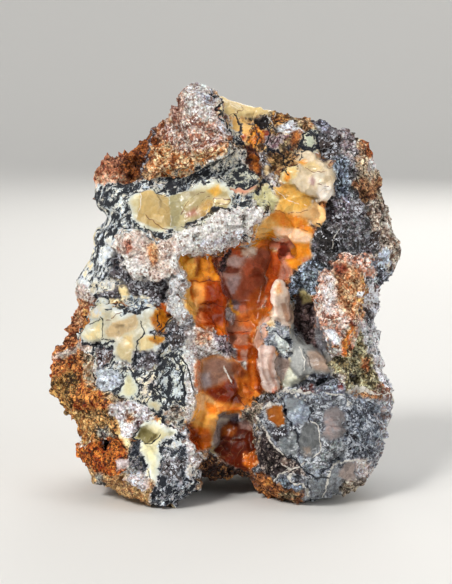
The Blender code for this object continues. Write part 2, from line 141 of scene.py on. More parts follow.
colourNames = ("tint", "mate", "fleck")
amountNames = ("pepper", "ink", "soft", "gloss", "grit", "crumb")


def finish(kind, colours, **amounts):
    # an amount that isn't given is 0
    look = dict(zip(colourNames, numbers(colours) / 100), kind=kind)
    return {**look, **dict.fromkeys(amountNames, 0), **amounts}


# The finishes of the stone: the material that each belongs to, and its colours in hundredths of
# red, green and blue. Two colours, tint and mate, mix, and fleck is the colour of scattered
# grains. pepper is how many of these there are, ink how much black moss grows, soft how gently
# the colours mix, gloss the shine, grit and crumb the height of grains and lumps.
finishes = {
    "whiteRhyolite": finish("rock", "94,93,92 70,64,60 42,26,19",
                            pepper=.08, soft=.3, gloss=.15, grit=.22),
    "pinkRhyolite": finish("rock", "92,85,79 62,43,33 38,15,9",
                           pepper=.2, soft=.15, gloss=.12, grit=.28),
    "ochreRhyolite": finish("rock", "94,82,64 74,46,22 40,17,6",
                            pepper=.2, soft=.15, gloss=.12, grit=.28),
    "rustCrust": finish("rock", "92,62,36 62,27,10 16,5,3",
                        pepper=.2, soft=.35, gloss=.25, grit=.35, crumb=1.1),
    "tanCrust": finish("rock", "93,84,70 60,44,31 14,9,7",
                       pepper=.28, soft=.28, gloss=.2, grit=.35, crumb=.7),
    "sugar": finish("rock", "100,99,98 84,79,77 50,38,33",
                    pepper=.1, soft=.3, gloss=.35, grit=.35, crumb=.2),
    "darkMatrix": finish("rock", "46,42,43 12,9,9 88,89,92",
                         pepper=.16, ink=.2, soft=.15, gloss=.3, grit=.3, crumb=.2),
    "greySpeckle": finish("rock", "88,90,94 26,25,28 4,3.5,4",
                          pepper=.25, ink=.15, soft=.1, gloss=.35, grit=.32, crumb=.25),
    "creamOpal": finish("opal", "92,84,64 88,78,55 15,13,13",
                        soft=1, gloss=.72, grit=.02),
    "mossOpal": finish("opal", "85,89,93 93,88,74 10,10,12",
                       pepper=.03, ink=.62, soft=.7, gloss=.55, grit=.08),
    "fireOpal": finish("fire", "90,48,10 80,32,4 90,70,50",
                       soft=1, gloss=.88),
    "greyOpal": finish("glass", "64,64,63 46,46,47 20,20,20",
                       soft=1, gloss=.8, grit=.02),
}


def lookOf(base, colours, changes):
    # a finish with colours of its own (tint, mate and fleck, or the first of them) and other changes
    own = zip(colourNames, numbers(colours) / 100) if colours else ()
    return {**finishes[base], **dict(own), **changes}


def zone(base, fade, ragged, colours, outline, rim=0.0, lift=0.0, **changes):
    # fade is the width of its border, ragged how far that wanders, rim the moss along it,
    # and lift how far the zone stands out
    return dict(look=lookOf(base, colours, changes), outline=numbers(outline), fade=fade, ragged=ragged,
                rim=rim, lift=lift)


# Painted in this order, each over the ones before
faceZones = {
    # left flank and the moss band round the cream hollow
    "moss band": zone("mossOpal", .35, .7, "80,84,88 91,89,80", "-41,100 -30,100.3 -24,101 -18,102.3 "
      "-12,103.5 -6,105.5 -2,108.5 2,111 5,111.5 7,107 6,104 10,101 9,97 13,95 8,93 3,92 -6,88.5 -14,83.5 "
      "-22,82.5 -28,86 -32,84 -34,76 -39,80 -39,90 -41,96", ink=.73),
    "left flank": zone("creamOpal", .35, .7, "94,92,86 82,87,92", "-39,92 -36.5,91 -33,86 -32,80 -34,74 "
      "-34,69 -40,65 -44,67 -48,70 -44,80 -40,88", ink=.6, soft=.8),
    "flank edge": zone("creamOpal", .35, .7, "94,88,72 90,82,62", "-45,74 -41,84 -38.5,86 -39.5,80 -42.5,72",
      ink=.3),
    # the peak
    "peak lower face": zone("ochreRhyolite", .35, .7, "97,85,67 77,49,25", "-17,119 -20,114 -22.5,107 "
      "-25,100.8 -18,102 -12,103 -6,105.5 -2,108.5 2,111 5,113 2,116.5 0,120 -4,120"),
    "peak middle face": zone("pinkRhyolite", 1.6, .7, "97,90,85 66,46,36", "-18,120 -20,115 -18,110.5 "
      "-10,109 -3,110.5 1,112 3.5,113.5 1.5,117 0,121 -6,122"),
    "peak ochre patch": zone("ochreRhyolite", 1.2, .7, "94,82,64", "-21,112 -17,112.5 -13,109 -15,107 "
      "-21,106"),
    "peak top": zone("whiteRhyolite", 1.2, .7, "94,93,92", "-17,120.5 -13.5,132 -7,132 -3,128 -1,125 "
      "-2.5,122 -1,119 -4,118.5 -10,120.5"),
    "peak grey patch": zone("whiteRhyolite", .8, .7, "80,81,85 62,62,66", "-9,128.5 -6,128 -3,126 -5,124 "
      "-8,127"),
    "peak left side": zone("pinkRhyolite", .8, .7, "86,74,67 62,44,36", "-17.5,117 -14,131 -12.8,128 -12,124 "
      "-13,120 -16,117"),
    "peak white flank": zone("whiteRhyolite", .8, .7, "84,86,92", "-2,119 0,119.5 1.5,116.5 1,114.5 "
      "-2,115.5"),
    # rust ledge left of the peak
    "rust ledge": zone("rustCrust", .35, .7, "75,44,21 38,16,6", "-42,100 -41,106 -34,112 -20,121 -17.5,119 "
      "-20.5,113 -22.5,106 -25,100.8 -30,100 -36,100.3"),
    "ledge left lump": zone("rustCrust", .8, .7, "84,58,43 49,22,13", "-42,102 -41,107 -34,110.5 -31,109 "
      "-31.5,105 -33,103"),
    "ledge foot": zone("pinkRhyolite", .7, .7, "92,78,66 78,50,36", "-42,99.5 -41,102 -36,103 -31,102.5 "
      "-29,100.5 -34,99.8", pepper=.04),
    "ledge strip": zone("tanCrust", .5, .7, "86,68,50", "-29,99.8 -24,104 -23,103 -25,100.3"),
    "ash vein": zone("darkMatrix", .2, .35, "42,36,36 20,16,17", "-18.6,120 -20.4,116.5 -21.8,113 "
      "-22.4,109.5 -22.8,106 -24.2,102.5 -26.6,99.4 -27.8,99.2 -25.6,102 -24.2,105.8 -23.8,109.6 -23.2,113 "
      "-21.6,117 -19.8,120.6", lift=-.4),
    # top right of the peak
    "top mixture": zone("tanCrust", .35, .7, "86,76,58 46,32,22", "3,111 1,118 4,124 16,124 28,121 28,110 "
      "22,104 14,102 12,97 6,96 9,101 6,105", crumb=.4, ink=.35, pepper=.3, soft=.5),
    "cream sheet": zone("creamOpal", .35, .3, "84,75,53 78,66,43", "-3,129 3,127 10,123.8 16,124.5 "
      "15.3,121.8 12,121 9,120 6,119.6 1.5,120.2 -.8,121 0,123.5 -1.5,126"),
    "yellow patch": zone("creamOpal", .35, .6, "90,74,50 84,62,38", "1.2,120 6,120.3 9.5,119 10.5,116.5 "
      "7,112 5,112.5 3,116", ink=.3, pepper=.04, soft=.6),
    "yellow orange dot": zone("fireOpal", .25, .6, "72,38,14 50,20,6", "4.6,117.4 5.8,117.6 6.4,116.2 "
      "5.6,115.2 4.6,115.8", gloss=.5),
    "yellow orange dot below": zone("fireOpal", .25, .6, "74,42,18 52,24,8", "1.4,113.6 2.8,114 3.2,112.6 "
      "2,112", gloss=.5),
    "moss by the peak": zone("mossOpal", .35, .7, "85,89,93", "0,118.5 3,118.5 3.5,116 5,114 4,112 1.5,115",
      ink=.6),
    "moss right of the peak": zone("mossOpal", .35, 1.2, "100,100,97 100,96,86", "-6,104 -2,107.6 2,110.6 "
      "5.4,111.4 8.6,107 9.4,103.6 3,103.8 -2,102.4", ink=.7, soft=.6),
    "orange crumble": zone("rustCrust", .35, 1.3, "92,74,48 50,24,10", "6,113 8,116.5 15,116.5 16,114 13,110 "
      "10,109 6,109.5 5,111", crumb=.5, gloss=.5, soft=.5, pepper=.3, fleck=(.12, .06, .04)),
    "orange glass chip": zone("fireOpal", .25, .9, "96,64,24 74,38,10", "7.2,112.8 8.4,115.4 10.4,116.8 "
      "12.2,116.4 11.8,113.8 10.2,111.6 8.4,111", lift=.4, gloss=.55, soft=.5, pepper=.06,
      fleck=(.2, .08, .04)),
    "glass chip red side": zone("fireOpal", .25, .8, "56,20,10 36,10,5", "12,116.8 14,116 13.4,113.4 12,112 "
      "11.6,114", gloss=.5),
    "cream bit by the chip": zone("creamOpal", .25, .5, "92,87,84 80,70,66", "12.4,112.2 14.2,113.4 "
      "15.6,112.6 15,110.8 13,110.8", gloss=.4),
    "red teardrop": zone("fireOpal", .2, .7, "66,24,5 55,16,3", "6.8,117 7,115.5 5.5,113 4.8,114.5"),
    "blood crumble": zone("rustCrust", .35, 1.4, "54,30,18 27,12,8", "5.5,111 9,112 11,108 10,102.5 "
      "8.5,101.5 6,105 7,108", crumb=.6, soft=.5),
    "gold drip": zone("fireOpal", .25, .9, "70,40,16 40,18,7", "8.6,110 10.2,109.4 10.4,106 9.4,103.2 "
      "8.2,104.6 8.4,107.6", gloss=.45, soft=.5),
    "shadow hole": zone("darkMatrix", .35, .3, "16,12,11 8,6,6", "7,120 10,119.2 12.5,121 14.2,120.3 13,117 "
      "10.8,116.4", pepper=.02, ink=0, lift=-1.6),
    "honey lump": zone("rustCrust", .35, .7, "90,68,36 56,30,10", "13.5,118 15,121.5 18.5,120.5 18,118 "
      "15.5,117.3", crumb=.3, soft=.5),
    "white patch": zone("sugar", .35, .4, "95,95,95 80,82,85", "14.4,119.2 17,119.8 20.6,118.4 24.6,115.8 "
      "23.6,114.2 20,114.4 16.2,115.6", lift=.5, soft=.6),
    "cream lump": zone("tanCrust", .35, .6, "95,85,68 72,46,24", "22,119 24,121 27.5,119.5 27.5,117 24.5,116",
      soft=.5),
    "mauve crumble": zone("tanCrust", .35, 1.4, "84,77,76 46,33,36", "12,114.5 16,115.5 20,113.5 17,110.5 "
      "12.5,111.5", ink=.2, soft=.5),
    "orange knot": zone("rustCrust", .35, 1.3, "76,54,38 42,22,14", "19.5,114.8 23.5,115.3 24,112 21.5,110 "
      "20,112", soft=.5),
    "orange knot core": zone("fireOpal", .3, .9, "66,40,20 40,20,10", "20.6,114.4 22.4,114.8 22.8,113 "
      "21.4,111.6 20.6,112.6", gloss=.45, soft=.5),
    "black ring moss": zone("mossOpal", .35, .7, "72,74,66", "23,113.5 27,116.5 30,114 28.5,109 25,110 "
      "22.8,111", ink=.68),
    "ring grey eye": zone("creamOpal", .25, .4, "74,77,68 62,64,56", "24.8,113.8 26.6,114.2 27.4,112.4 "
      "26.4,110.8 24.8,111.4", gloss=.4),
    "brown crumble": zone("tanCrust", .35, 1.5, "88,70,46 48,30,18", "12.5,110 20,110.5 23,108 21,104.5 "
      "15,102 12.5,104", pepper=.3, soft=.5),
    "dark crumble": zone("darkMatrix", .35, 1.4, "56,50,48", "10,109 13.5,108.5 15,103 13.5,99.5 11,102",
      soft=.5),
    "cream bit in the dark": zone("creamOpal", .25, .6, "88,82,68 76,64,46", "12,104.6 13.6,105.6 14.4,103.4 "
      "13.2,101.8 12,102.8", gloss=.4),
    "second bit in the dark": zone("creamOpal", .25, .6, "86,84,70 74,70,52", "11,98.6 12.8,99.6 14,97.8 "
      "12.8,96.2 11.2,96.8", gloss=.4),
    "swirl": zone("mossOpal", .35, .7, "82,82,74 72,70,60", "0,102 3,104.5 8,104 10.5,101.5 8.5,97.5 5,96.2 "
      "1.5,98", ink=.74, soft=.9),
    "pink swirl edge": zone("creamOpal", .4, .3, "82,60,50 76,50,38", "1,99 3,98.8 6,97.8 9.5,99.6 9.8,98.8 "
      "6,96.4 2,97.5"),
    "moss under the swirl": zone("mossOpal", .4, 1.1, "64,68,70 58,56,50", "-1,91.4 3,94.6 8,97 12,95.4 "
      "9.6,92.4 5,91 1,90", ink=.8, soft=.6),
    # right shoulder
    "right shoulder": zone("greySpeckle", .35, .7, "69,68,69 30,27,28", "27,122 40,119 48,110 56,92 56,78 "
      "50,70 46,70 44,76.5 34,76.5 27,72 20,68 22,76 26,80 27,86 31,92 33,99 33,105 29,109", pepper=.34),
    "shoulder top edge": zone("greySpeckle", .35, .7, "64,63,68 22,20,24", "26,122 36,119 35,116 30,116.5 "
      "27,118"),
    "knuckle": zone("tanCrust", .35, .7, "76,74,74 44,36,36", "33.5,115.5 35,118 40,118 40,114 36,113",
      lift=.6),
    "shoulder shadow": zone("darkMatrix", .8, 1.2, "40,35,34", "27,112 33,116 37,111 33,108 31,104.5"),
    "pale shoulder knot": zone("greySpeckle", .35, .7, "86,83,82 60,54,54", "35,113 39,113.5 41,108 38,105 "
      "35,110", pepper=.15),
    "blue shoulder": zone("greySpeckle", .8, .7, "74,78,84 30,32,37", "33,108 38,108 38,96 34,95 33.2,102",
      pepper=.2),
    "crust rim": zone("tanCrust", .6, 1.2, "98,90,78 64,48,35", "39.5,116 46,114 58,92 57,78 51,76.5 49.5,84 "
      "46,92 43,94 39,99 40.5,104 40,110", pepper=.2),
    "rim crumbs": zone("tanCrust", .6, 1.3, "96,90,83 52,41,34", "43.5,93 45,86 46,80 45.5,76.5 48,74.5 "
      "51,72.5 58,78 58,97 50,97 46,95", pepper=.22),
    "rim below the crumbs": zone("greySpeckle", .6, 1.2, "88,90,94 40,40,45", "41.5,78 45.5,77 48.5,74.5 "
      "52,72 50,67 44,67 42,71"),
    "rim blue white patch": zone("whiteRhyolite", .4, 1.1, "92,96,100 70,74,80", "46.6,74 47,78.6 49,80.4 "
      "50.8,77 49.4,73.6", soft=.4),
    "rim dark hollow": zone("darkMatrix", .4, 1.2, "36,30,28 12,9,8", "44,79.6 44.6,84.6 46.8,85.4 47.4,81"),
    "rim pale crumb": zone("whiteRhyolite", .4, 1.1, "98,95,90 74,68,62", "49,84 49.4,88 51,88.6 51.8,85",
      soft=.4),
    "rim rust": zone("rustCrust", .6, .7, "76,45,24", "41.5,113.5 45.5,111.5 45,108 42,108.5"),
    "rim white": zone("sugar", .3, .4, "100,99,98", "44.2,108.2 47,107 46.8,104 44,104"),
    "rim brown": zone("rustCrust", .8, .7, "80,60,42 50,31,20", "39.5,101 45,101 46.5,95 43,93.5 40,97",
      crumb=.6),
    "dark shoulder hollow": zone("darkMatrix", .7, 1.2, "49,44,45 17,14,16", "31.5,91 41,95 44,91 38,88.5 "
      "34.5,86 31,87.5"),
    "slate plates": zone("darkMatrix", .6, .7, "27,25,25 10,9,9", "27.5,86 31,87.5 35,84 36.5,78 31,76.5 "
      "29,80 26.5,83", ink=.1, pepper=.05),
    "light shoulder spots": zone("greySpeckle", .8, .7, "86,86,90 46,40,44", "33,95 38,96 38.5,90 34.5,90"),
    # cream knobs and the orange block
    "green cream": zone("creamOpal", .4, .7, "82,78,60 86,68,38", "16,101 19,105.5 22,105 22.5,100.5 "
      "20,99.5"),
    "cream knobs": zone("fireOpal", .35, .5, "84,78,68 78,69,55", "21.5,108 24,110.5 28,108.5 32,106 33,103 "
      "33,97 31.5,93.8 27,95.3 23,98 20.5,100.5 22.5,104", gloss=.7),
    "knob tan fold": zone("creamOpal", .6, .7, "78,66,47", "23,106.5 27,106.5 30,104.5 28,103 24,104.5"),
    "upper knob": zone("fireOpal", .5, .3, "87,84,77 80,73,61", "26.2,99.6 28.4,99 30.4,100 30.6,102 "
      "29,103.4 27,103.2 25.8,101.6", lift=.4, gloss=.7),
    "lower knob": zone("fireOpal", .5, .3, "89,87,84 84,78,70", "28.8,95.2 31.4,94.6 33,96.4 32.8,98.8 "
      "30.8,99.8 28.8,98.8 27.8,97", lift=.6, gloss=.7),
    "side knob": zone("fireOpal", .5, .3, "84,78,68 76,67,53", "31,100.6 33.2,100.2 34,102.6 33,105 "
      "31.2,104.6 30.4,102.6", lift=.3, gloss=.7),
    "knob orange spot": zone("fireOpal", .5, .4, "88,62,26 84,52,16", "21.8,106.8 24.4,107.4 25.6,106.2 "
      "23.6,105.4"),
    "knob lower spot": zone("fireOpal", .4, .5, "86,60,24 80,46,14", "18.4,102.8 19.6,103.6 20.2,101.6 "
      "19.4,100.4 18.2,101.2"),
    "knob mauve shade": zone("creamOpal", .5, .4, "70,58,54 62,48,46", "26.2,99.8 27.2,99.2 27.6,101 "
      "26.6,102.4 25.8,101.2", lift=-.4),
    "amber block": zone("fireOpal", .5, .5, "85,69,38 84,59,22", "15,99 19,100 23,98 27,95.5 26,92 20,91 "
      "15.5,91 16.5,95", gloss=.75),
    "tan block": zone("fireOpal", .35, .3, "84,70,50 84,64,40", "20.5,90.8 26,93 27.5,95 30.4,92 30.4,89.5 "
      "28.5,87 25,88.5", lift=.3),
    "cream left block": zone("fireOpal", .8, .7, "88,74,48 88,62,26", "8,83 9.5,86.5 13,90.5 16,91.5 17,87 "
      "15.5,83.5 12,84 9,81.5"),
    "orange cap": zone("fireOpal", .9, .4, "87,58,18 82,42,8", "13.5,90.5 17,91.5 21,90.6 25,88.6 27,86.3 "
      "26.5,83 22,85.5 16.5,86 15.5,88"),
    "peach band": zone("fireOpal", .8, .3, "97,85,73 97,72,52", "14.8,86.5 19,86 23,86 26.3,84.5 26.2,81.5 "
      "21.5,81.8 21.2,77.5 19.5,80.5 17.5,83 15.3,83.5"),
    "orange by the cave": zone("fireOpal", .6, .3, "93,60,16 88,48,8", "20.3,82 26,81.8 26.5,78 25,75 23,73 "
      "20,74 18,77 21.3,77.3"),
    "peach lip": zone("fireOpal", .8, .7, "90,72,56", "23.5,77 26.5,78 26,74.5 24,73"),
    # the cave is tinted far lighter than its own dark red, and its glow lighter still: painted light in a
    # deep hollow the lamps hardly reach
    "cave": zone("fireOpal", .25, .3, "100,68,56 96,54,42", "14.8,80 15,82 17,82.8 19.5,82 20.8,79.5 "
      "21.3,76.8 18.6,76.8 16.6,78.4", lift=1.15),
    "painted glow in the cave": zone("fireOpal", .5, .2, "98,66,58 90,50,42", "16.2,79.6 18.5,80 18.8,78.6 17,78", lift=.4),
    "yellow shelf": zone("fireOpal", .4, .7, "93,68,22 88,54,12", "7.5,81 9,83.3 14.6,85 15.2,82.8 11,82 "
      "9.8,79.8"),
    "brown shelf": zone("fireOpal", .5, .7, "91,54,21 80,37,9", "9.8,80 11,82.6 14.8,82.9 14.5,79 11,78.5"),
    "pink fold": zone("fireOpal", .6, .3, "78,56,48 70,38,27", "15,70.5 16.8,74 16.9,78 18.5,76.8 20.5,74 "
      "20.3,71 17,70.3"),
    # sugar ridge and its neighbours
    "sugar ridge": zone("sugar", .35, .7, "98,97,95 82,79,77", "-32,84 -28.5,87 -24,85 -20,82.3 -15,83.3 "
      "-12,85.3 -8,87.8 -3,90.3 2,91.6 7,94 12,92.5 12.3,90 9,86.3 7.5,84 3,82.3 0,80.3 -4,79.3 -8,77.5 "
      "-14,77.8 -13.5,75 -11.5,72.7 -13,71 -17,70.5 -22,70.3 -28.5,70.3 -31.5,75 -33.2,80", lift=.3,
      pepper=.07, soft=.56),
    "pink sugar": zone("sugar", 1.5, .7, "99,94,90 79,67,60", "-32,84 -28,85.5 -23,82 -15,82 -13,77 -14,72 "
      "-21,71 -23,75 -28,77 -33,80", soft=.55),
    "sugar rust spot": zone("rustCrust", .9, .7, "82,56,46 60,28,18", "-30.8,82 -28.5,82.5 -28,79.8 "
      "-29.5,78.5 -31,79.5", crumb=.1),
    "sugar peach spot": zone("ochreRhyolite", .9, .7, "92,76,56 78,50,30", "-23,82 -20.5,82.5 -20,76.5 "
      "-22,74.5 -22.8,78", soft=.5),
    "sugar grey streak": zone("sugar", 1.2, .7, "90,90,92 66,64,64", "-9,82 0,84 6,86 6,84 0,81 -8,79.5"),
    "green corner": zone("creamOpal", .35, .7, "80,78,62 72,68,46", "9,98 14,98.5 16.5,95 14.5,91 11.5,91.5 "
      "8.5,94.5", ink=.4),
    "blue moss knot": zone("mossOpal", .35, .7, "62,70,80", "2.5,96 7,96 8,93.5 5.5,91.8 2.5,92.3", ink=.72),
    # cream hollow
    "cream hollow": zone("creamOpal", .35, .9, "84,80,63 82,74,52", "-30,95 -27,97.2 -21,97.6 -17,95.6 "
      "-13,96.6 -9.5,99 -4,100.2 0,99.6 2,97.5 2.2,94.5 1.8,92.2 -2,91 -6,89 -9,87.3 -12,85.2 -15,84 "
      "-19,83.2 -22,84.3 -24,86.5 -27.5,89 -29,92", rim=.3),
    "tan bowl": zone("creamOpal", .25, .15, "76,66,45 74,62,39", "-25.8,96.8 -24,97.4 -20,97 -17.2,96 "
      "-16.4,91 -16.6,86.8 -20,86 -24,87.4 -26.6,88.6 -26.2,93"),
    "bowl right facet": zone("creamOpal", .2, .15, "70,66,50 67,62,44", "-17.2,96 -16.4,91 -16.6,86.8 "
      "-14.6,87.2 -13.6,90 -12.2,93.4 -10.6,96 -13,97.4"),
    "bowl lower rim": zone("creamOpal", .5, .3, "86,87,80 84,84,74", "-27.6,86.8 -24,87 -20,85.8 -16.4,86.4 "
      "-14.8,85.6 -18,82.6 -21,83 -24.6,83.8 -28,84.8"),
    "grey fold": zone("creamOpal", .4, .2, "70,65,50 66,60,45", "-13.5,98 -6,97.5 -3,98.5 -8,95.8 -12,96"),
    "pale bridge": zone("creamOpal", .3, .15, "72,66,48 70,62,43", "-13,90.6 -11.4,93.6 -9,95.8 -4.6,97.4 "
      ".6,97.2 2,95.2 .4,92.4 -3,90.8 -6,89.4 -9.4,88.6 -12,88.4"),
    "bridge tan face": zone("creamOpal", .3, .15, "77,63,38 75,57,32", "-8.4,92.4 -5.6,95 -3.8,94.8 "
      "-3.4,92.2 -5,90.6 -7.6,90.2"),
    "bridge box": zone("creamOpal", .25, .1, "80,70,48", "-3.6,95.2 -.4,95.4 1.4,94.6 1,93.4 -2,93.4 "
      "-3.6,93.8"),
    "honey spot": zone("creamOpal", .7, .2, "92,74,34 90,62,20", "-5,97.8 -2,99 -1,97 -3,95.6"),
    "lower honey spot": zone("creamOpal", .7, .2, "92,78,44 92,72,34", "-6.5,92.5 -4.5,93 -3.5,91 -5.5,90.3"),
    "rosy spot": zone("creamOpal", .8, .2, "72,48,38 68,42,32", "-12,90.8 -9,92.5 -8.5,91 -11.5,89.8"),
    # white strip and dark matrix
    "dark matrix": zone("darkMatrix", .35, .9, "46,42,43", "-40,64 -38,68 -34.5,69.5 -35,76 -33,79 -31,75 "
      "-28.5,70.5 -22,70.5 -17,70.5 -16.5,66 -17.5,62 -21,63 -24,65 -30,65.5 -36,64", ink=.35),
    "matrix light streaks": zone("mossOpal", .5, .7, "88,90,92", "-41,69.5 -35,71 -31,69.7 -33,68 -38,66.3 "
      "-42,67", ink=.55),
    "cream spike": zone("creamOpal", .4, .7, "92,84,64", "-32,68.5 -30,68.3 -28.5,65.5 -29.5,63 -31.5,65",
      ink=.15),
    "blue moss shelf": zone("mossOpal", .35, .7, "78,85,92", "-31,65.5 -24,65.2 -20.5,63.5 -22.5,60.8 "
      "-30,60.3", ink=.6),
    "white strip": zone("sugar", .35, .5, "90,90,90 75,74,73", "-17,71.2 -13,72.8 -12,71 -11.8,66 -12,62 "
      "-10.3,59.8 -9.4,57.5 -12,57 -15.5,58.3 -17.6,61 -17.6,66", lift=.4, soft=.52),
    # cream plateau
    "cream plateau": zone("creamOpal", .35, .9, "75,74,67 72,68,56", "-39,63 -36,64 -31.5,62 -29.5,60 "
      "-26,60.2 -24,62 -22,62.5 -20.5,59 -20,56.5 -21.3,55.5 -22.5,54.4 -20.5,53 -19,50.5 -20,48 -23,48 "
      "-26.3,47 -28,44.3 -31,45.5 -33.5,46.3 -34,49.5 -38,51 -42,51.4 -44.5,53 -41.5,56.5 -40.5,60", rim=.45,
      lift=.8),
    "tan plateau": zone("creamOpal", .3, .2, "73,63,47 73,64,49", "-35.6,54.6 -33.6,57.4 -30,58.6 -27,59.8 "
      "-26,57.6 -26.6,55.4 -29.8,54.4 -32.6,52.6 -34.4,52.8"),
    "plateau fold": zone("creamOpal", .3, .2, "74,74,63 71,69,57", "-39.6,61.8 -37.4,63.8 -36.6,60 "
      "-36.4,55.4 -38.2,53 -39.6,56"),
    "plateau tongue": zone("creamOpal", .4, .2, "74,69,54 72,64,47", "-31.6,52 -28.6,52.6 -27.6,49 "
      "-28.4,45.6 -31,46.2 -32.4,49"),
    "plateau right face": zone("creamOpal", .3, .2, "80,74,57 78,69,49", "-26,52.6 -22.8,53.8 -20.4,52.6 "
      "-21.6,49.8 -25.4,48.6"),
    "green plateau": zone("creamOpal", .9, .3, "78,77,64", "-42,53.5 -37.5,58 -36.8,55 -37,52 -41,52"),
    "blue plateau corner": zone("creamOpal", .8, .3, "74,79,84", "-39,62.5 -37,62 -36.5,59.5 -39.5,58"),
    "honey plateau": zone("creamOpal", 1, .3, "81,69,48", "-30.5,53.5 -27.5,53.5 -27.5,49.5 -30,50"),
    "upper honey eye": zone("fireOpal", .5, .3, "78,50,12 62,32,5", "-22.6,58.8 -21.5,61.2 -18.5,61.4 "
      "-17,58.3 -18.3,55.1 -20.2,54 -21.7,56.1", lift=-.5),
    "eye dark corner": zone("fireOpal", .5, .3, "48,27,8", "-19.5,64 -17,63 -16.7,60 -18.3,60.5"),
    "lower honey eye": zone("fireOpal", .4, .3, "86,62,22 60,32,8", "-23.2,52.5 -20.5,53.8 -17.8,53 -19,51.2 "
      "-20.5,51", lift=-.4),
    # mixture under the plateau
    "lower mixture": zone("mossOpal", .35, .7, "86,88,89 88,85,72", "-40,50.5 -34,50 -33,45.5 -28,43.5 "
      "-25,47.5 -19,48.5 -18.5,53 -16,57 -9,58.5 -7,50 -8,40 -8.5,30 -11,26 -16,26 -22,30 -29,34 -34,35.5 "
      "-38,43 -42,47", ink=.73, pepper=.06),
    "mixture dark lace": zone("mossOpal", .4, 1, "74,74,70", "-31,31.6 -29,36 -25,36.6 -23.4,33.4 -26,31.4",
      ink=.78),
    "dark brush": zone("darkMatrix", .5, 1.1, "46,42,42", "-18,57.5 -9.5,58 -10.5,54 -12,50 -16,48.5 "
      "-18.5,52", ink=.3, pepper=.22),
    "brown brush": zone("darkMatrix", .5, 1.1, "52,42,40 24,15,14", "-39,50 -34.5,50 -35,45 -38,43 -39.5,46",
      pepper=.25),
    "black brush": zone("darkMatrix", .6, 1.3, "50,46,48 20,16,17", "-27,48 -20,48.5 -19.5,45 -23,43 -28,44",
      pepper=.35),
    "green cream patch": zone("creamOpal", .35, .7, "82,80,64 80,76,57", "-31,42.5 -28.5,43 -26.5,39.5 "
      "-26,35 -29,33.8 -34,35.8 -32,37.5", ink=.2, rim=.45, lift=.3),
    "lower cream tongue": zone("creamOpal", .35, .7, "80,75,55", "-24,33.5 -20,35 -18.5,31 -20,29.5 -24,31.5",
      rim=.45, ink=.2),
    "blue cream window": zone("mossOpal", .35, .7, "84,84,78 76,81,84", "-20,40 -17,44 -13,42 -12.3,37 "
      "-13,34 -16.5,34.3 -19.5,36", rim=.3, ink=.54),
    "pink moss": zone("mossOpal", .6, .7, "74,70,72", "-26,40 -22,42 -20.5,38 -24,34.5 -26,36", ink=.5),
    "column of sugar": zone("sugar", .5, .7, "97,95,94 74,70,68", "-12.5,57 -8,56 -3,55.3 1,52 0,49.5 "
      "-5,47.5 -7.5,45 -8,38 -7.5,30 -8.5,26 -12,26.5 -12,32 -10.5,36 -10.5,42 -12,47 -11,52", pepper=.14,
      soft=.5),
    "peach edge": zone("fireOpal", .6, .7, "88,66,50", "-8.3,46 -7,46 -6.8,41 -6.5,36.5 -8,36 -8.4,41"),
    "brown dots": zone("tanCrust", .6, .7, "90,86,80 62,52,44", "-19,30.5 -14,33 -12.5,29 -14,26.5 -18,28",
      ink=.3, crumb=0),
    "quartz window": zone("greyOpal", .35, .4, "86,88,91 60,63,68", "-39.5,41.5 -37.5,43.6 -34,43.3 "
      "-31.3,41.2 -31.3,38.7 -33.8,37 -37,36.6 -39.3,38.8", rim=.4, lift=.3, soft=.35, gloss=.6, pepper=.06,
      fleck=(.3, .3, .34), grit=.12),
    # rusty bark down the left side
    "bark": zone("rustCrust", .35, .7, "97,66,36 56,20,5", "-48,54 -43.5,56 -44.5,52.5 -43,50 -40.5,47 "
      "-40,43 -38.5,38.5 -40,36 -45,36 -46.5,30 -50,29 -56,36 -57,46 -51,51", crumb=.8),
    "bark cream side": zone("tanCrust", .8, .7, "95,89,78 72,55,38", "-44,49 -40.5,47.5 -40,42.5 -38.6,38.6 "
      "-41.5,37.5 -43,43", pepper=.12),
    "bark lower": zone("tanCrust", .8, .7, "90,70,42 52,31,13", "-54,39 -50,42 -46,43 -43,40 -45,37.5 -47,32 "
      "-47,29 -52,29", fleck=(.08, .06, .05), pepper=.3, crumb=.8),
    "bark streak": zone("sugar", .5, .7, "90,86,82 78,68,62", "-51,47.5 -44,51.2 -41,51 -40,49 -44,49.5 "
      "-50,46.2"),
    "bark shoulder": zone("rustCrust", .35, .7, "90,60,38 42,17,8", "-52,49 -48,59 -45.5,59 -44,56 "
      "-44.5,52.5 -47,50", crumb=.7, pepper=.28),
    "bark strip": zone("ochreRhyolite", .35, .7, "92,72,54 66,38,24", "-47,66 -42,66.5 -40.3,61 -41.5,57 "
      "-44,54.5 -45.5,56 -46,61", pepper=.16),
    "bark strip gold": zone("ochreRhyolite", .5, .7, "94,74,44 78,48,20", "-42,62 -40.7,61 -42,55.5 "
      "-43.5,55.5 -42.8,58"),
    "bark strip cap": zone("whiteRhyolite", .35, .7, "92,89,86 78,72,68", "-47,69 -42,69 -40.3,66 -40.2,63 "
      "-42,64 -45,65.5"),
    "upper rust knot": zone("rustCrust", .35, .7, "97,66,34 50,18,5", "-46.5,33.5 -45,36 -41,37.3 -37,36.6 "
      "-34,34.8 -34.5,33 -37,31 -42,30 -46,31", lift=.6, pepper=.26),
    "rust knot tan end": zone("tanCrust", .6, .7, "92,80,64", "-35.5,36.3 -33.5,35.3 -34,33 -36,33.5"),
    "khaki side": zone("tanCrust", .35, .7, "98,80,53 68,46,24", "-48,31 -42,30.5 -36,31.5 -33,28 -30,24 "
      "-36,22.5 -42,21 -48,22", pepper=.24),
    "khaki gold edge": zone("ochreRhyolite", .8, .7, "92,76,50", "-48,30 -44,30 -42.6,25 -41,21.5 -47,21"),
    "grey pocket": zone("greySpeckle", .6, .7, "80,78,74 44,40,36", "-40,25.5 -35,25.5 -34,23 -38,21.5"),
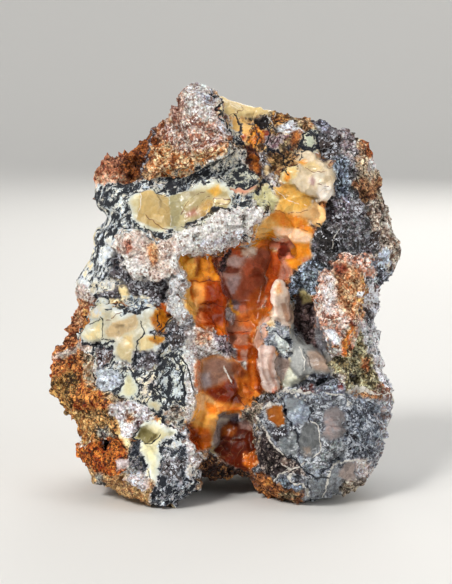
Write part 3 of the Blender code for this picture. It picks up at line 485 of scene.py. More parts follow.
    "white shoulder": zone("whiteRhyolite", .35, .7, "97,96,97 76,73,73", "-35,32 -33,34 -28,33.3 -24,31.4 "
      "-21,28.5 -25,27 -25.5,24 -28,22 -31,22.5 -33,27", grit=.25),
    "shoulder plum spot": zone("darkMatrix", .5, .7, "56,42,42 24,13,14", "-26.6,28.3 -24.8,28.5 -24.6,25 "
      "-26,23.8 -27,25.8"),
    "shoulder peach spot": zone("ochreRhyolite", .8, .7, "90,76,60", "-30,29.5 -28,29.8 -28,27 -30,27"),
    "lower rust knot": zone("rustCrust", .35, .7, "92,56,24 60,21,4", "-46,20 -41,20.5 -37,22 -33,23 "
      "-30.3,21.5 -29.5,16 -30,12 -34,10.8 -38,12.5 -42,14 -45,16", lift=.5),
    # a real pit, painted near black as the shade inside it
    "rust pit in painted shade": zone("darkMatrix", .3, .3, "14,7,5 8,4,3", "-37.2,21.5 -35,21.5 -35,18 -36.7,17.8", pepper=0,
      ink=0, lift=-1.6),
    "rust crystal": zone("greyOpal", .2, .3, "86,80,79 74,66,65", "-33.4,15 -31,16 -28.6,15.4 -29,13.3 "
      "-32.5,12.7", lift=.9, soft=.6, grit=.1),
    "lower left foot": zone("whiteRhyolite", .35, .7, "97,82,59 72,53,32", "-42,14 -37,12 -31,11 -25,12.5 "
      "-22,9 -22.5,3 -30,2 -42,4", pepper=.18, grit=.35),
    "foot white glow": zone("sugar", .8, .7, "96,97,100", "-31,12.5 -24,12.8 -22.5,8 -25,6 -29,9"),
    "foot grey pits": zone("greySpeckle", .6, .7, "72,70,66", "-40,11 -36,12 -36,9 -39,8"),
    "cream wing": zone("creamOpal", .35, .4, "87,84,68 84,79,58", "-25,27.3 -21.5,27.6 -18,26 -14,24.4 "
      "-15.5,22 -18.5,20.3 -19.8,17 -19.8,12 -21,8.3 -22.6,11 -23.5,14 -25,16.3 -27.5,19 -25.5,20.5 -28,22 "
      "-26.5,24", rim=.4, lift=.3),
    "wing fold": zone("creamOpal", .4, .2, "70,66,46 62,57,36", "-25.5,25.4 -20.5,23.6 -21.5,21.4 -24.5,20.4 "
      "-28,21.8 -26,23.5", lift=-.5),
    # the dark deep in the wing's fold is painted shade
    "wing fold painted shade": zone("creamOpal", .4, .2, "42,37,22 34,29,15", "-22.5,22.6 -19.8,24.2 -20.8,21.8 "
      "-24,20.3"),
    "wing dark edge": zone("greySpeckle", .35, .7, "74,70,68", "-29,21.5 -26,21 -25,16.5 -23,13 -24.5,11.5 "
      "-28,13 -29.5,17", ink=.4, pepper=.3),
    "coarse speckle": zone("mossOpal", .35, .7, "90,91,93 70,68,68", "-19.8,20.5 -15.5,24.3 -13,25.5 -9,22 "
      "-6.5,17 -7,10 -11,4 -14,.5 -20,0 -23,5 -20.5,9 -19.8,14", ink=.74, pepper=.14, grit=.25, gloss=.4,
      soft=.4),
    "speckle core": zone("darkMatrix", .8, 1.1, "50,46,46", "-19.5,15.5 -14,16.5 -10,18 -12,13 -13,10 -17,8 "
      "-19.5,11", pepper=.2, ink=.4),
    "speckle white edge": zone("sugar", .6, 1, "100,99,98", "-11,22.5 -8,19 -6.8,14 -9,13 -11.5,15 -10,18 "
      "-13,22", ink=.3),
    # the fire opal pillar
    "amber flank": zone("fireOpal", .35, .3, "92,74,42 90,64,26", "-13.8,76 -11.6,72.5 -12.2,67 -12.2,62 "
      "-10.8,60 -9.2,57.5 -7.4,59.5 -8,64 -9,70"),
    "pillar": zone("fireOpal", .35, .3, "76,42,10 64,24,4", "-14,77.3 -11,77.8 -8,76.6 -6,78 -2.6,77.6 "
      "-1.8,74 -.6,70 .6,66.5 .6,62 0,57 1,52.3 -1.5,53.3 -3,55 -6,55.5 -9,56 -8,58.8 -9,62 -10.2,66 "
      "-11.3,70 -11.8,73 -13.8,75"),
    "pillar yellow top": zone("fireOpal", 1.4, .4, "98,75,24 95,62,12", "-14,77 -11,77.6 -8.5,76.5 -7,75 "
      "-8,71 -11,70 -12,73 -13.8,75"),
    "pillar grey top": zone("fireOpal", .9, .3, "86,66,42", "-9.5,78 -7,77.5 -7.2,73.5 -9,74"),
    "pillar amber band": zone("fireOpal", .9, .7, "93,62,17 88,50,10", "-8,77.5 -3,77.5 -2.5,73 -1.5,70.3 "
      "-8,70.3"),
    # painted light on the pillar's left side
    "pillar painted light on the left": zone("fireOpal", 1.2, .7, "86,66,36 84,57,23", "-9.7,68.5 -6.5,69.5 -6.8,64 -7.5,60 "
      "-8.7,62"),
    "pillar deep red": zone("fireOpal", 2, .7, "58,22,4 49,14,2", "-5.5,69.5 -.8,69.5 .5,66 .4,57 -.2,55 "
      "-5.5,55.8 -6,62"),
    "pillar lower face": zone("fireOpal", .35, .2, "57,21,3 48,14,1", "-8.6,62 -3.4,61.8 0,60.6 .2,56 "
      "-2.6,54.8 -6.6,56.4 -8.4,58.6"),
    # a ridge lifted a little and made lighter with painted light
    "pillar ridge in painted light": zone("fireOpal", .4, .2, "97,80,52 90,60,28", "-9.4,69.8 -8.4,69.8 -7.6,65 -8,60.6 "
      "-9,60.8 -9.2,65", lift=.3),
    "pillar top dome": zone("fireOpal", .4, .2, "98,64,17 74,34,5", "-7.4,77.4 -4.6,77.6 -3.4,74.8 -4.4,72 "
      "-6.8,71.8 -7.8,74.4", lift=.8),
    "pillar second dome": zone("fireOpal", .4, .2, "100,82,39 89,54,12", "-12.4,76.8 -9.4,77.4 -8.4,74.4 "
      "-9.8,71.6 -12,72.4 -13,74.6", lift=.7),
    # a real groove, made darker than the pillar as painted shade inside it
    "pillar groove in painted shade": zone("fireOpal", .3, .2, "66,36,8 56,26,4", "-8.6,78 -7.4,78 -7.2,74.6 -8,71.4 -9,71.4 "
      "-8.4,74.6", lift=-.3),
    # painted highlight on the pillar's left
    "pillar painted highlight on the left": zone("fireOpal", .8, .2, "95,66,34 90,54,22", "-8.6,69.4 -6.8,69.6 -5.8,66 "
      "-6.4,62.4 -8,62 -9,65.6"),
    # painted shade on the pillar's right side
    "pillar painted shade on the right": zone("fireOpal", .4, .2, "50,20,4 42,14,2", "-2.6,78 -1.6,78 -1.4,73.6 -2.8,73.4 "
      "-3.4,76"),
    "pillar pink foot": zone("fireOpal", .8, .7, "88,60,40", "-9,59 -6.4,61 -6,57 -8.8,56"),
    "pillar orange toe": zone("fireOpal", .9, .7, "90,50,12", "-2.5,57 .2,58 1,52.4 -1.5,53.2"),
    "pillar side shade": zone("fireOpal", .35, .2, "42,12,5 34,8,3", "-2.3,73 -1,72 1,66 .6,64.8 -.4,66.5"),
    # the deep floor between the pillar and the red wall
    "deep floor": zone("fireOpal", .3, .3, "80,50,38 72,38,26", "-1.8,77 0,79.5 4,80 8,79 11,80 14,79 "
      "13.2,73 12.6,67 11.5,62.5 9.5,61.5 4.2,61 2,62.5 .8,66 -.8,71", gloss=.55),
    "floor mauve": zone("fireOpal", .6, .7, "84,68,62 74,54,49", ".5,76 3,78.5 9,77.5 5.5,72 4.5,68 2.5,65.5 "
      "1,68 -.4,72"),
    "floor grey knob": zone("fireOpal", .7, .7, "95,90,89 78,68,67", "1,71.5 3.5,72 3.6,68.5 2,67.5",
      lift=.4),
    "floor upper light": zone("fireOpal", .3, .3, "90,80,77 76,62,58", ".8,76.8 3,77.6 6.6,77.2 6,75.4 "
      "3.6,74.6 1.6,75"),
    "floor brown cleft": zone("fireOpal", .3, .3, "55,28,20 44,19,12", ".2,74.4 2,74.6 5,73.8 4.2,72.4 "
      "1.8,72.6 .2,72.8"),
    "floor low light": zone("fireOpal", .3, .3, "91,81,80 74,62,61", "1.6,66.4 3.2,66 4.4,68.6 4.6,71.2 "
      "2.8,72 1.4,70"),
    "floor left shade": zone("fireOpal", .35, .2, "51,22,14 40,14,9", "-1.2,71.6 .2,71 1.2,67.6 2.6,64.4 "
      "1.6,63 .2,66"),
    "floor plum corner": zone("fireOpal", .4, .3, "66,58,60 50,42,43", "1.6,64.6 3.6,64.4 4.8,63 3.6,61.6 "
      "1.8,62"),
    "floor red": zone("fireOpal", 1.4, .7, "78,43,29 68,32,20", "6,75.5 11,79 13,76 12.2,69 10,66 5,63 "
      "4.5,68"),
    "floor orange corner": zone("fireOpal", .9, .7, "84,48,20", "6.5,64.5 12,69 12.5,66 11,62.5 7,61.8"),
    "floor maroon lip": zone("fireOpal", .5, .7, "56,24,14", "1,79.6 5,79.8 6,77.6 2.5,78"),
    "black crust seam": zone("greySpeckle", .25, .9, "50,38,38 22,13,13", "-1.8,77.5 1.5,79.5 2.8,79 .8,77 "
      ".2,73 -.8,71.3 -1.4,72.8", ink=.2, gloss=.6),
    "white knot": zone("creamOpal", .5, .4, "100,96,90 88,76,66", "5,80 7,81 10,79.8 9.5,78 7,77.3 5.4,78.2",
      lift=.9),
    "blue squiggle": zone("mossOpal", .25, .7, "72,76,84", "1.5,81.2 4,83 8.5,84 9.5,82 7,80.8 4,80.8",
      ink=.74),
    "amber lip": zone("fireOpal", .4, .7, "74,44,12", ".5,79.6 2,81.2 5,81 4,79.6"),
    "lower floor": zone("fireOpal", .3, .3, "70,48,38 60,35,24", ".6,61.5 3,61 9.5,61.6 8.4,56 7.4,51 6,50 "
      "2,50 .8,52 .2,56", gloss=.55),
    "lower floor orange": zone("fireOpal", .9, .7, "86,48,20 78,36,12", "3.5,60.5 9.5,61.3 8.4,56 4,56.5",
      gloss=.6),
    "lower floor stripe": zone("fireOpal", .3, .15, "58,32,24", "1.5,54.6 7.6,54.6 7.4,53.8 1.5,53.9",
      gloss=.5),
    "floor quartz knot": zone("greyOpal", .25, .5, "80,76,75 52,47,46", "0,61.5 1.6,62.4 3.4,60 3,57.6 "
      "1.4,56.6 .3,58.5", grit=.3, lift=.4, soft=.5),
    "floor gold seam": zone("fireOpal", .2, .2, "92,68,26 88,56,12", "1.5,64.8 2.2,64.5 2.3,62 4.6,60.4 "
      "4.2,59.4 1.6,61.6"),
    # red wall and the channel that runs down from it
    "red wall": zone("fireOpal", .3, .2, "78,36,12 64,22,6", "13.6,79.5 16.8,78.4 16.8,74 15.2,70.5 14.6,65 "
      "13.6,61 12.3,62.2 12.8,67 13.4,73", gloss=.75),
    "red wall pink knobs": zone("fireOpal", .4, .2, "74,46,38", "11.8,68.7 13.2,69 13.2,66.6 12,66.5"),
    "lower pink knob": zone("fireOpal", .4, .2, "80,52,40", "9.8,64 12,64.2 12.2,62.6 10,62.4"),
    "orange bend": zone("fireOpal", .35, .2, "82,47,14 72,32,8", "7.8,60.5 9.5,62 13.5,61.8 14.2,63 "
      "13.4,60.4 11,58 9.8,56 8.6,53 8,50.5 7.2,51.5 8.2,56", gloss=.7),
    "red channel": zone("fireOpal", .35, .2, "70,33,7 59,21,4", "7.2,53 9.4,51 10,48.5 9.9,44 10.8,40 "
      "12.4,36.8 10,35 7.5,38 6.8,42 7,47", gloss=.75),
    # painted highlight down the channel's left edge
    "channel painted highlight edge": zone("fireOpal", .7, .2, "88,49,13 78,36,6", "7.6,47 8.8,46 9,41.6 9.4,37 8.4,36.6 "
      "7.8,41.6", gloss=.8),
    # painted shade down the channel's right side
    "channel painted shade side": zone("fireOpal", .35, .2, "50,18,4 40,11,2", "9.6,50 10.6,50.6 10.6,45 11,40 "
      "11.8,36.4 10.6,36 9.8,41"),
    "dusty wing": zone("fireOpal", .35, .3, "86,70,62 74,54,45", "12.6,60 10.6,57.6 9.3,54 8.2,50.8 10,48.6 "
      "11.2,50.2 12.8,51.5 12.6,55 13.6,57.5 14,60", gloss=.5),
    "small grey step": zone("fireOpal", .3, .3, "80,62,55 64,42,34", "4.5,49.8 7.2,49.8 7.2,46 5,45.4",
      gloss=.5),
    "rust step": zone("fireOpal", .3, .3, "70,34,15", "3.4,48.8 5,49.5 5,46 3.6,46.4", gloss=.6),
    "step shade": zone("fireOpal", .3, .3, "52,22,11", "2.5,50.6 7.4,50.6 7.2,49.4 3,49.5", gloss=.5),
    "plum crust": zone("greySpeckle", .4, .7, "84,78,80 46,38,42", "-3,53.5 0,52.8 2.6,50.3 3.4,48 1,47.3 "
      "-2,50", ink=.1, gloss=.5),
    "peach crust": zone("ochreRhyolite", .9, .7, "90,78,68 80,56,42", "-9,55 -5,55 -3.5,52 -6,50 -9,51",
      pepper=.08),
    # bulge and red foot
    "bulge": zone("fireOpal", .35, .4, "86,54,21 80,43,12", "-7.3,46.3 -3.5,47.8 3,46.4 5,45.2 7.2,42 8,38 "
      "11,35.6 9.5,33.6 7,32 5.5,30.5 0,29.8 -3,27.6 -3.2,22 -5.5,18.6 -8.5,22 -12.5,27.2 -9.6,27.8 -8.6,31 "
      "-8.3,36 -6.8,37"),
    "bulge grey top": zone("fireOpal", 1.3, .3, "60,45,38 49,34,28", "-6.8,45.8 -3,47.4 2.5,46 4,43 2.8,40 "
      "-.5,38.5 -4,37 -7.4,38 -7,42"),
    "bulge mauve edge": zone("fireOpal", .9, .2, "68,62,62 56,49,49", "-7.3,42 -4.5,42.5 -4,38 -6.5,37.3"),
    "bulge bloom": zone("fireOpal", 1, .2, "56,30,17 45,21,10", "3,46 5.2,45 7,41.5 5,40 2,43"),
    "bulge deep orange": zone("fireOpal", 1.3, .3, "49,16,1 40,10,1", "-6,37 -1,38.5 3,40.5 7,39 8.5,36 5,33 "
      "-1,33 -5,34.5"),
    "bulge red core": zone("fireOpal", 1, .2, "46,14,2 38,9,1", "0,39 3.5,40 5.5,36.5 4,33.5 1,35"),
    "bulge right face": zone("fireOpal", .35, .2, "78,44,15 64,30,7", "3,41.6 5,40.6 7.4,37 8.4,34 6.6,33 "
      "5.2,33.4 3.6,37"),
    "bulge gold belly": zone("fireOpal", 1.6, .3, "93,69,34 88,58,22", "-11.5,27 -8.5,31 -7.5,35.5 -3,33 "
      "3,31.2 -3,28 -3.2,23 -5.5,20 -8.5,23"),
    "bulge tan band": zone("fireOpal", .4, .2, "88,70,46 78,56,32", "-6.4,35.6 -4.6,34.8 -2,32.4 1,31.2 "
      "5,31.2 5,30 0,30 -2.6,30.6 -5,32.6 -7,34"),
    "bulge peach corner": zone("fireOpal", .5, .5, "95,76,54 86,60,36", "-8.6,36 -6.6,36.4 -5.4,33.6 -6,30.8 "
      "-8.4,31"),
    "bulge bright orange": zone("fireOpal", .5, .3, "95,54,12 86,42,6", "-5.6,33.4 -3.6,33 -2,31 -3,29.4 "
      "-5,30"),
    "belly fade": zone("fireOpal", 1, .3, "84,63,38 74,51,27", "-4.4,28 -2.6,28.6 -1.4,25 -2.4,21.6 -4,21.4 "
      "-5,24.6"),
    "belly low orange": zone("fireOpal", .8, .3, "88,45,7 74,32,3", "-9,25.6 -5,25.4 -3.6,22.6 -4,19.4 -7,19 "
      "-9,21.6"),
    "belly dark corner": zone("fireOpal", .6, .3, "58,23,4 46,15,2", "-11.4,25.4 -9,25.6 -7.4,23 -6.6,19.4 "
      "-8,18.6 -10.4,21"),
    "bulge gold rib": zone("fireOpal", .5, .2, "86,55,22", "-2.5,32 5,31.8 5.2,30.4 -1,29.8"),
    "bulge grey window": zone("fireOpal", .6, .3, "66,60,58 50,44,43", "-3,28 -.5,30.2 4.4,30 5,28.3 2,27.4 "
      "-.3,25.8 -1.5,21 -3,18.3 -3.4,23"),
    "window white streak": zone("fireOpal", .3, .2, "90,86,80 80,74,68", "-3,26.8 -1,28.2 1.4,28 1,27.2 "
      "-1,27.2 -2.4,26"),
    "window blue chip": zone("fireOpal", .2, .3, "60,58,66 28,24,28", "1.2,27.4 3,29.2 5.2,29.2 4.6,27.8 "
      "2.6,26.8"),
    "red foot": zone("fireOpal", .35, .4, "35,10,1 25,6,1", "-1,25 1,27.6 5,27 8,25 9.8,21 10.3,16 11.3,12 "
      "8.5,11.6 3,13.3 -2,16.8 -3.4,18.4 -1.5,21", gloss=.5),
    "red foot glow": zone("fireOpal", .6, .7, "66,34,10 56,25,5", "-.8,25.4 1,27.2 4.5,26 3,23 -1,22.4"),
    "red foot gold": zone("fireOpal", .8, .7, "80,42,7 68,30,4", "5.5,17.5 9.5,18.5 11,12.4 8.4,12 5.5,14",
      gloss=.6, pepper=.07, soft=.6, fleck=(.95, .7, .5)),
    "foot pink chip": zone("fireOpal", .3, .3, "72,58,54 50,36,33", "4.2,27.2 6.4,27.8 8.4,26 7.6,24.6 "
      "5,25.6"),
    "under shadow": zone("darkMatrix", .4, .7, "26,14,9 10,5,4", "-8,17 -4,17.3 -2,16.4 3,13 8,11.4 9.5,10 "
      "6,7 -7,8 -8,12", fleck=(.6, .42, .25), pepper=.12, ink=.1),
    "foot corner rust": zone("rustCrust", .5, .7, "66,38,18", "-12,27.8 -9.5,27 -9.4,24.5 -12,25.5",
      crumb=.1),
    # pink shell, rib and the grey saddle
    "white crystals": zone("greySpeckle", .4, .9, "81,82,83 52,54,59", "12.5,58 16,59.5 19,58 20.5,53 "
      "20.8,48.5 19.5,46.5 16.5,48 13,51 12.4,54", ink=.4, pepper=.12, soft=.4),
    "snow patch": zone("sugar", .2, .2, "95,97,95 84,87,86", "15.2,54.4 17,53.6 19.6,51 20,49 18.4,47.4 "
      "17,48.6 16,51.4", lift=.4, pepper=.02, soft=.7),
    "ring spot": zone("creamOpal", .3, .3, "93,86,74 80,62,34", "12.8,58.6 15,59.3 15.5,57 13.6,55.9"),
    "grey saddle": zone("greyOpal", .4, .4, "58,58,56 40,41,41", "19.5,58 22.5,54 25,51.5 28,51 30.5,49 "
      "32.5,46 33,42 30,40.6 26,41.8 24,40 21.5,40.4 19.8,43.8 20.4,48 20.6,53", gloss=.55, grit=.06),
    "saddle tan": zone("greyOpal", .9, .3, "68,58,50 54,45,39", "25.5,48.5 28.5,49 32,46 32,42.5 28,43 "
      "25.5,45", gloss=.5),
    "saddle light": zone("greyOpal", .6, .4, "82,82,80 60,61,60", "20.5,48 23,50 24.5,45 23.5,41 20.8,43.5",
      gloss=.55),
    "pink rib": zone("fireOpal", .3, .2, "72,66,60 67,57,51", "16.2,70.8 18.6,69.8 20,67 20.4,62 21,58.6 "
      "20,56.6 17.5,57 15,59.3 13.8,60.4 14.3,64 14.9,68", gloss=.6),
    "rib yellow top": zone("fireOpal", .7, .2, "78,71,52", "15.4,69.8 17,69.3 17.6,66.6 15.8,65.8", gloss=.6),
    # the rib's left edge made lighter as painted light, beside its shaded right
    "rib painted lit edge": zone("fireOpal", .4, .2, "95,88,82 86,74,67", "14.2,66 15.2,70 16.6,70.6 15.8,67 "
      "15.6,62 16.4,58 14.4,58.4", gloss=.6),
    "rib right shade": zone("fireOpal", .4, .2, "60,50,44 50,40,34", "19.4,66.6 20.4,63 20.8,58.4 19.8,57.6 "
      "19.4,61 18.4,65", gloss=.6),
    "rib brown sliver": zone("fireOpal", .2, .15, "56,44,37 56,42,34", "17,63.2 18.4,63.6 19.6,60.5 "
      "19.9,57.4 18.8,57.8 17.8,60.4", lift=-.3),
    "pink shell": zone("fireOpal", .3, .2, "86,78,74 76,66,61", "10,48.6 12.2,50.4 14.6,49.6 15.6,47 15.3,44 "
      "16.2,41 17.4,38.8 16.4,36.6 13.5,35.2 12,37.3 10.6,40.6 9.8,44.5", gloss=.6),
    "shell fold": zone("fireOpal", .35, .15, "76,65,61 68,56,51", "11.9,50.4 12.8,50.4 11.8,46 12.3,42 "
      "14.1,38.2 15,36.6 14.2,36.2 13,38.4 11.4,42 10.9,46", gloss=.6),
    "shell inner fold": zone("fireOpal", .35, .15, "70,56,50 62,48,42", "14.2,50.2 15.2,50 14.4,46 14.6,42.4 "
      "16.2,38.6 15.6,37.8 14.2,40 13.4,43 13.4,46.6", gloss=.6),
    # painted highlight along the shell's left edge
    "shell painted highlight edge": zone("fireOpal", .35, .15, "97,89,85 92,82,77", "9.9,46.6 10.6,49 11.4,49.2 10.8,46 "
      "11,42.6 12.6,38.8 12,38.4 10.2,42.4", gloss=.6),
    "shell pearl": zone("fireOpal", .4, .3, "90,88,84", "13,36.5 16,38 16.4,36.4 14,35.3"),
    "brown fan": zone("greyOpal", .25, .2, "64,56,52 56,48,44", "15.6,47.2 19.8,46.4 20,44 18.6,41.3 17.4,39 "
      "16.2,41.3 15.4,44.3"),
    "green wedge": zone("creamOpal", .3, .3, "90,91,84 79,79,70", "17.6,38.4 18.5,41.3 19.6,43.6 22,40.8 "
      "24.3,39 22,37.2 18,37"),
    "under shell dark": zone("darkMatrix", .5, .7, "46,42,38", "15.5,36.5 18.4,38 17.6,35.6 12.5,33.6 9,33.6 "
      "8,31 7,33 11.5,35.8", pepper=.2),
    # dark pocket, slate and rhyolite wedge
    "upper slate speckle": zone("greySpeckle", .35, .7, "80,85,92 24,25,28", "20,71 22.5,74.5 27,77.5 30,74 "
      "28,68 26.5,65 22,66 20.2,62 19.8,67", ink=.35),
    "blue slate": zone("greySpeckle", .8, .7, "80,85,90 46,50,54", "24,74 28,74 28,66.5 25,65.6", ink=.2),
    "slate": zone("greyOpal", .5, .6, "62,61,63 40,39,41", "27,63 29.5,60 31,57 33,52 32,49 29,48 27.6,52 "
      "27.8,58", grit=.2, soft=.5),
    "dark pocket": zone("darkMatrix", .3, .4, "44,34,33 17,11.5,11", "21,63.2 22.4,65.2 25.6,63.6 27,63.4 "
      "27.6,58 27.8,52.5 28.5,49.5 26.6,50 25.2,51.4 23,54.6 21.4,58.6", fleck=(.62, .54, .54), pepper=.12,
      ink=.1, gloss=.5, lift=-.3),
    "olive lip": zone("creamOpal", .5, .6, "72,66,46 52,46,28", "22.4,67.8 24.2,67.2 26.6,65.4 26,63.4 "
      "24,63.2 22.8,64.8", gloss=.8),
    "rhyolite wedge": zone("pinkRhyolite", .35, .9, "100,93,88 86,62,50", "28.5,71 30.5,74.5 34,76.3 38,78.6 "
      "44.5,78 45.5,74 43.4,70 42.3,65 41.2,60 40,55 39.3,50 38.7,46.4 36.2,46 35.8,50 34,50 31,52.5 30,57 "
      "28.6,60 27.6,64", pepper=.16, soft=.3),
    "wedge orange side": zone("ochreRhyolite", 1.6, .7, "95,80,62 76,48,28", "33.5,74 36,76 41,73 42,66 "
      "40,59 37.5,60 34,64 33,69", pepper=.18, soft=.3),
    "wedge gold edge": zone("ochreRhyolite", .7, .7, "94,74,46", "41.3,73 43,71 42,64.5 40.8,60 40,62 41,67"),
    "wedge white side": zone("whiteRhyolite", 1.4, .7, "97,95,95 78,72,69", "29.5,66 31,72 33.5,72 34,65 "
      "33,60 29.5,61", soft=.45),
    "wedge red spots": zone("rustCrust", .6, 1, "66,36,26 44,16,10", "34,75 36.8,75 36.8,72.6 34.6,72.4",
      crumb=.1),
    "wedge maroon dot": zone("rustCrust", .4, .4, "46,13,6 34,8,5", "38,58.3 39.4,58.3 39.4,56.4 38.2,56.4",
      crumb=0),
    "orange drip": zone("rustCrust", .5, .6, "93,62,26 76,36,10", "38.3,57.2 39.3,56.4 39,54 37.9,52.2 "
      "38.7,49 38.6,46.2 36.2,45.8 36.3,50 35.6,52 37.4,53.6", grit=.2, gloss=.5, crumb=.15, pepper=.12),
    "wedge white spot": zone("sugar", .25, .3, "97,97,98 88,89,92", "30.6,55.3 33.2,55.4 35.6,52.6 35.4,50.8 "
      "33,50.5 31.8,52.3", pepper=0, grit=.1, lift=.4),
    "wedge orange drops": zone("rustCrust", .4, .7, "84,54,34", "32,51.2 35,51 34.8,49.3 32.5,50", crumb=.2),
    "right rim": zone("mossOpal", .4, .9, "97,97,98 90,88,88", "43,70.5 46,70 48.5,66 49,60 48,54 49,48 "
      "52,44 53,36 50,36 48.5,38 46.8,41.5 44.8,46 43.2,50 42.2,55 41.6,60 42.4,66", pepper=.18, ink=.38,
      soft=.35, grit=.25, crumb=.3, kind="rock"),
    "rim rust dots": zone("tanCrust", .8, 1.2, "95,91,88 58,44,38", "42.5,67 45.5,69.5 46.5,65 44,61 42.2,58",
      pepper=.25),
    "rim white patch": zone("whiteRhyolite", .3, .9, "100,100,100 86,85,86", "44.6,52 45.4,56 46.6,60 "
      "47.4,58 46.8,53.4", soft=.6),
    "rim upper white patch": zone("whiteRhyolite", .3, .9, "100,100,100 84,84,88", "43,63.6 43.6,68 45,69.6 "
      "46,66 44.6,63", soft=.6),
    "rim lower white patch": zone("whiteRhyolite", .3, .9, "100,99,98 82,80,80", "46.4,42.6 47,47 48.6,48.4 "
      "49.6,45 48.4,41.6", soft=.6),
    "rim dark pit": zone("darkMatrix", .3, .9, "34,30,30 12,10,11", "42.8,57 43,62 44.4,62.4 44.6,58",
      ink=.3),
    "rim lower dark pit": zone("darkMatrix", .3, .9, "36,34,36 12,12,14", "46.8,50 46.4,53.4 47.8,53 "
      "48.4,50.6", ink=.3),
    "olive crust": zone("tanCrust", .35, .7, "95,91,75 60,54,37", "32.5,47.5 36,46.6 38.6,47.5 39.6,52.5 "
      "41.6,55 43,50 44.6,46 46.6,42 47.2,38 46,36.4 41,36.5 37.5,37.5 34.5,41 32.8,44", fleck=(.1, .08, .06),
      pepper=.3),
    # a real hole, painted near black as the shade inside it
    "crust hole in painted shade": zone("darkMatrix", .4, .6, "16,13,10 8,6,5", "37.6,42.6 39.4,41.8 41,38.4 38.6,37.8 "
      "37.8,40", pepper=.02, lift=-1),
    "crust orange tongue": zone("rustCrust", .5, .7, "86,58,38 60,28,12", "42,47 43.6,47 44.3,43 42.5,41.5 "
      "41.8,43.6", crumb=.3),
    "crust white side": zone("whiteRhyolite", .6, .7, "97,95,93", "33,43 36,41 37.6,38 35.5,37.5 32.6,40.4"),
    "crust brown ledge": zone("rustCrust", .4, .7, "92,72,54 66,42,24", "37.2,36.6 43,36.2 48,36 48.5,33.8 "
      "43,34.4 38.2,34.9", crumb=.2),
    # right lobe
    "right lobe": zone("greySpeckle", .35, .7, "58,59,62 23,23,25", "7,33.5 12,33.5 16,35 20,38 27,41.5 "
      "33,41 37.5,37.3 40,35 50,34 54,30 54,10 42,0 14,0 8,6 8.4,12 10.2,14 10,20 8.8,25 6,29",
      fleck=(.82, .84, .86), pepper=.18, ink=.3, gloss=.55, crumb=.1, soft=.2),
    "lobe top speckle": zone("greySpeckle", .35, .7, "77,79,83 39,39,44", "27,42 33,41.5 37.5,37 36,34 30,35 "
      "26,36.5", ink=.35, gloss=.5),
    "plum bit": zone("darkMatrix", .4, .5, "44,18,16 28,8,8", "34.4,38.6 36.2,38.4 36.4,36.6 34.8,36.6"),
    "plum streak": zone("darkMatrix", .5, .6, "54,34,30 34,16,14", "22.5,38 27,38.6 27.5,37 23,36.6"),
    "left lobe rim": zone("tanCrust", .4, .7, "84,78,68 50,42,38", "6,32.6 9,34 12.2,33.6 11,30.6 9.8,27 "
      "10.4,23 10.6,17 10.2,14 9.4,20 8.4,25 5.6,28.6", ink=.3, crumb=.2),
    "amber window": zone("fireOpal", .4, .4, "70,42,16 60,31,8", "12.3,31.3 14.5,32.4 17.3,32.3 18.3,29 "
      "18.8,26 16,26 13.6,28.4", gloss=.6),
    "pale blue pane": zone("greyOpal", .4, .6, "66,70,74 46,49,54", "18,34.6 22,34 25.8,32 26.2,29 25,27 "
      "22,25.8 20.2,26.4 19,30", grit=.1, soft=.55),
    "pane dark top": zone("greyOpal", 1, .7, "50,54,55", "18.6,34.6 22.5,34.5 22,31 19.5,31"),
    "lens": zone("greyOpal", .35, .5, "40,41,41 30,31,32", "23.2,24.5 25,27 27.6,26.2 29.2,23.3 29.3,20 "
      "28,17.4 25.4,16.4 23.2,18 22.6,21", gloss=.7),
    "lens tan spot": zone("greyOpal", .6, .2, "60,50,40", "24,19.5 26,19.5 26.6,17.2 24.4,16.8"),
    "mauve pane": zone("greyOpal", .6, 1, "47,43,42 36,34,34", "29.6,27.3 31,30.6 34.6,31 37,29 37.4,25 "
      "35.4,22.6 32,21.2 29.8,22.8 30.4,25", gloss=.75),
    "mauve pane warm": zone("greyOpal", 1, .3, "54,45,42", "30.6,29.5 33,29 34.5,25 32.5,22 30.6,23"),
    "brown black patch": zone("darkMatrix", .4, .7, "28,23,23 12,8,8", "10.6,26.4 13,23.6 15,20 17,18 "
      "20.5,16.4 23.8,13.4 26,11 22,11.4 18.4,12.5 16,10.4 13,11 10.8,13 10.4,16 10.8,20",
      fleck=(.72, .66, .62), pepper=.12, ink=.15, gloss=.5, crumb=.3),
    "dark upper wedge": zone("darkMatrix", .4, .7, "30,28,30 14,12,13", "13.4,26 15,25.4 20,25 18,23 16.4,21 "
      "14.6,22", pepper=.1),
    "pink flakes": zone("sugar", .5, .9, "84,74,68 42,32,30", "16.5,16 19.5,16.8 20,14.5 17.5,13.6",
      pepper=.2),
    "grey triangle": zone("greyOpal", .35, .5, "50,52,53 37,39,40", "16.4,20.8 19.8,24.2 22,23.8 22.8,20 "
      "21,17.4 18.3,17.8", grit=.12, soft=.6),
    "dark right speckle": zone("greySpeckle", 1.2, 1.4, "55,57,61 20,20,23", "36,34 41,34 48,32 49,20 46,16 "
      "40,16.5 37,20 38,26 36.5,30", fleck=(.8, .82, .85), pepper=.17, ink=.5, gloss=.5),
    "lobe middle speckle": zone("greySpeckle", .9, .7, "61,63,64 35,35,36", "28.5,20 36,22 37.5,17 31,14 "
      "27,11.5 24.5,14 27,16.2", fleck=(.84, .85, .87), pepper=.18, ink=.2),
    "lobe bottom grey": zone("greyOpal", .5, .8, "52,54,56 34,35,37", "26.5,10.6 31,11 33,14 36,12 36,7 "
      "30,4.5 26,5", ink=.25, grit=.15, soft=.6),
    "lobe bottom blue": zone("greySpeckle", .5, .7, "66,70,76 34,35,38", "16.5,10.5 20,11 21,8 24,7.5 23,5.5 "
      "18,7", ink=.3),
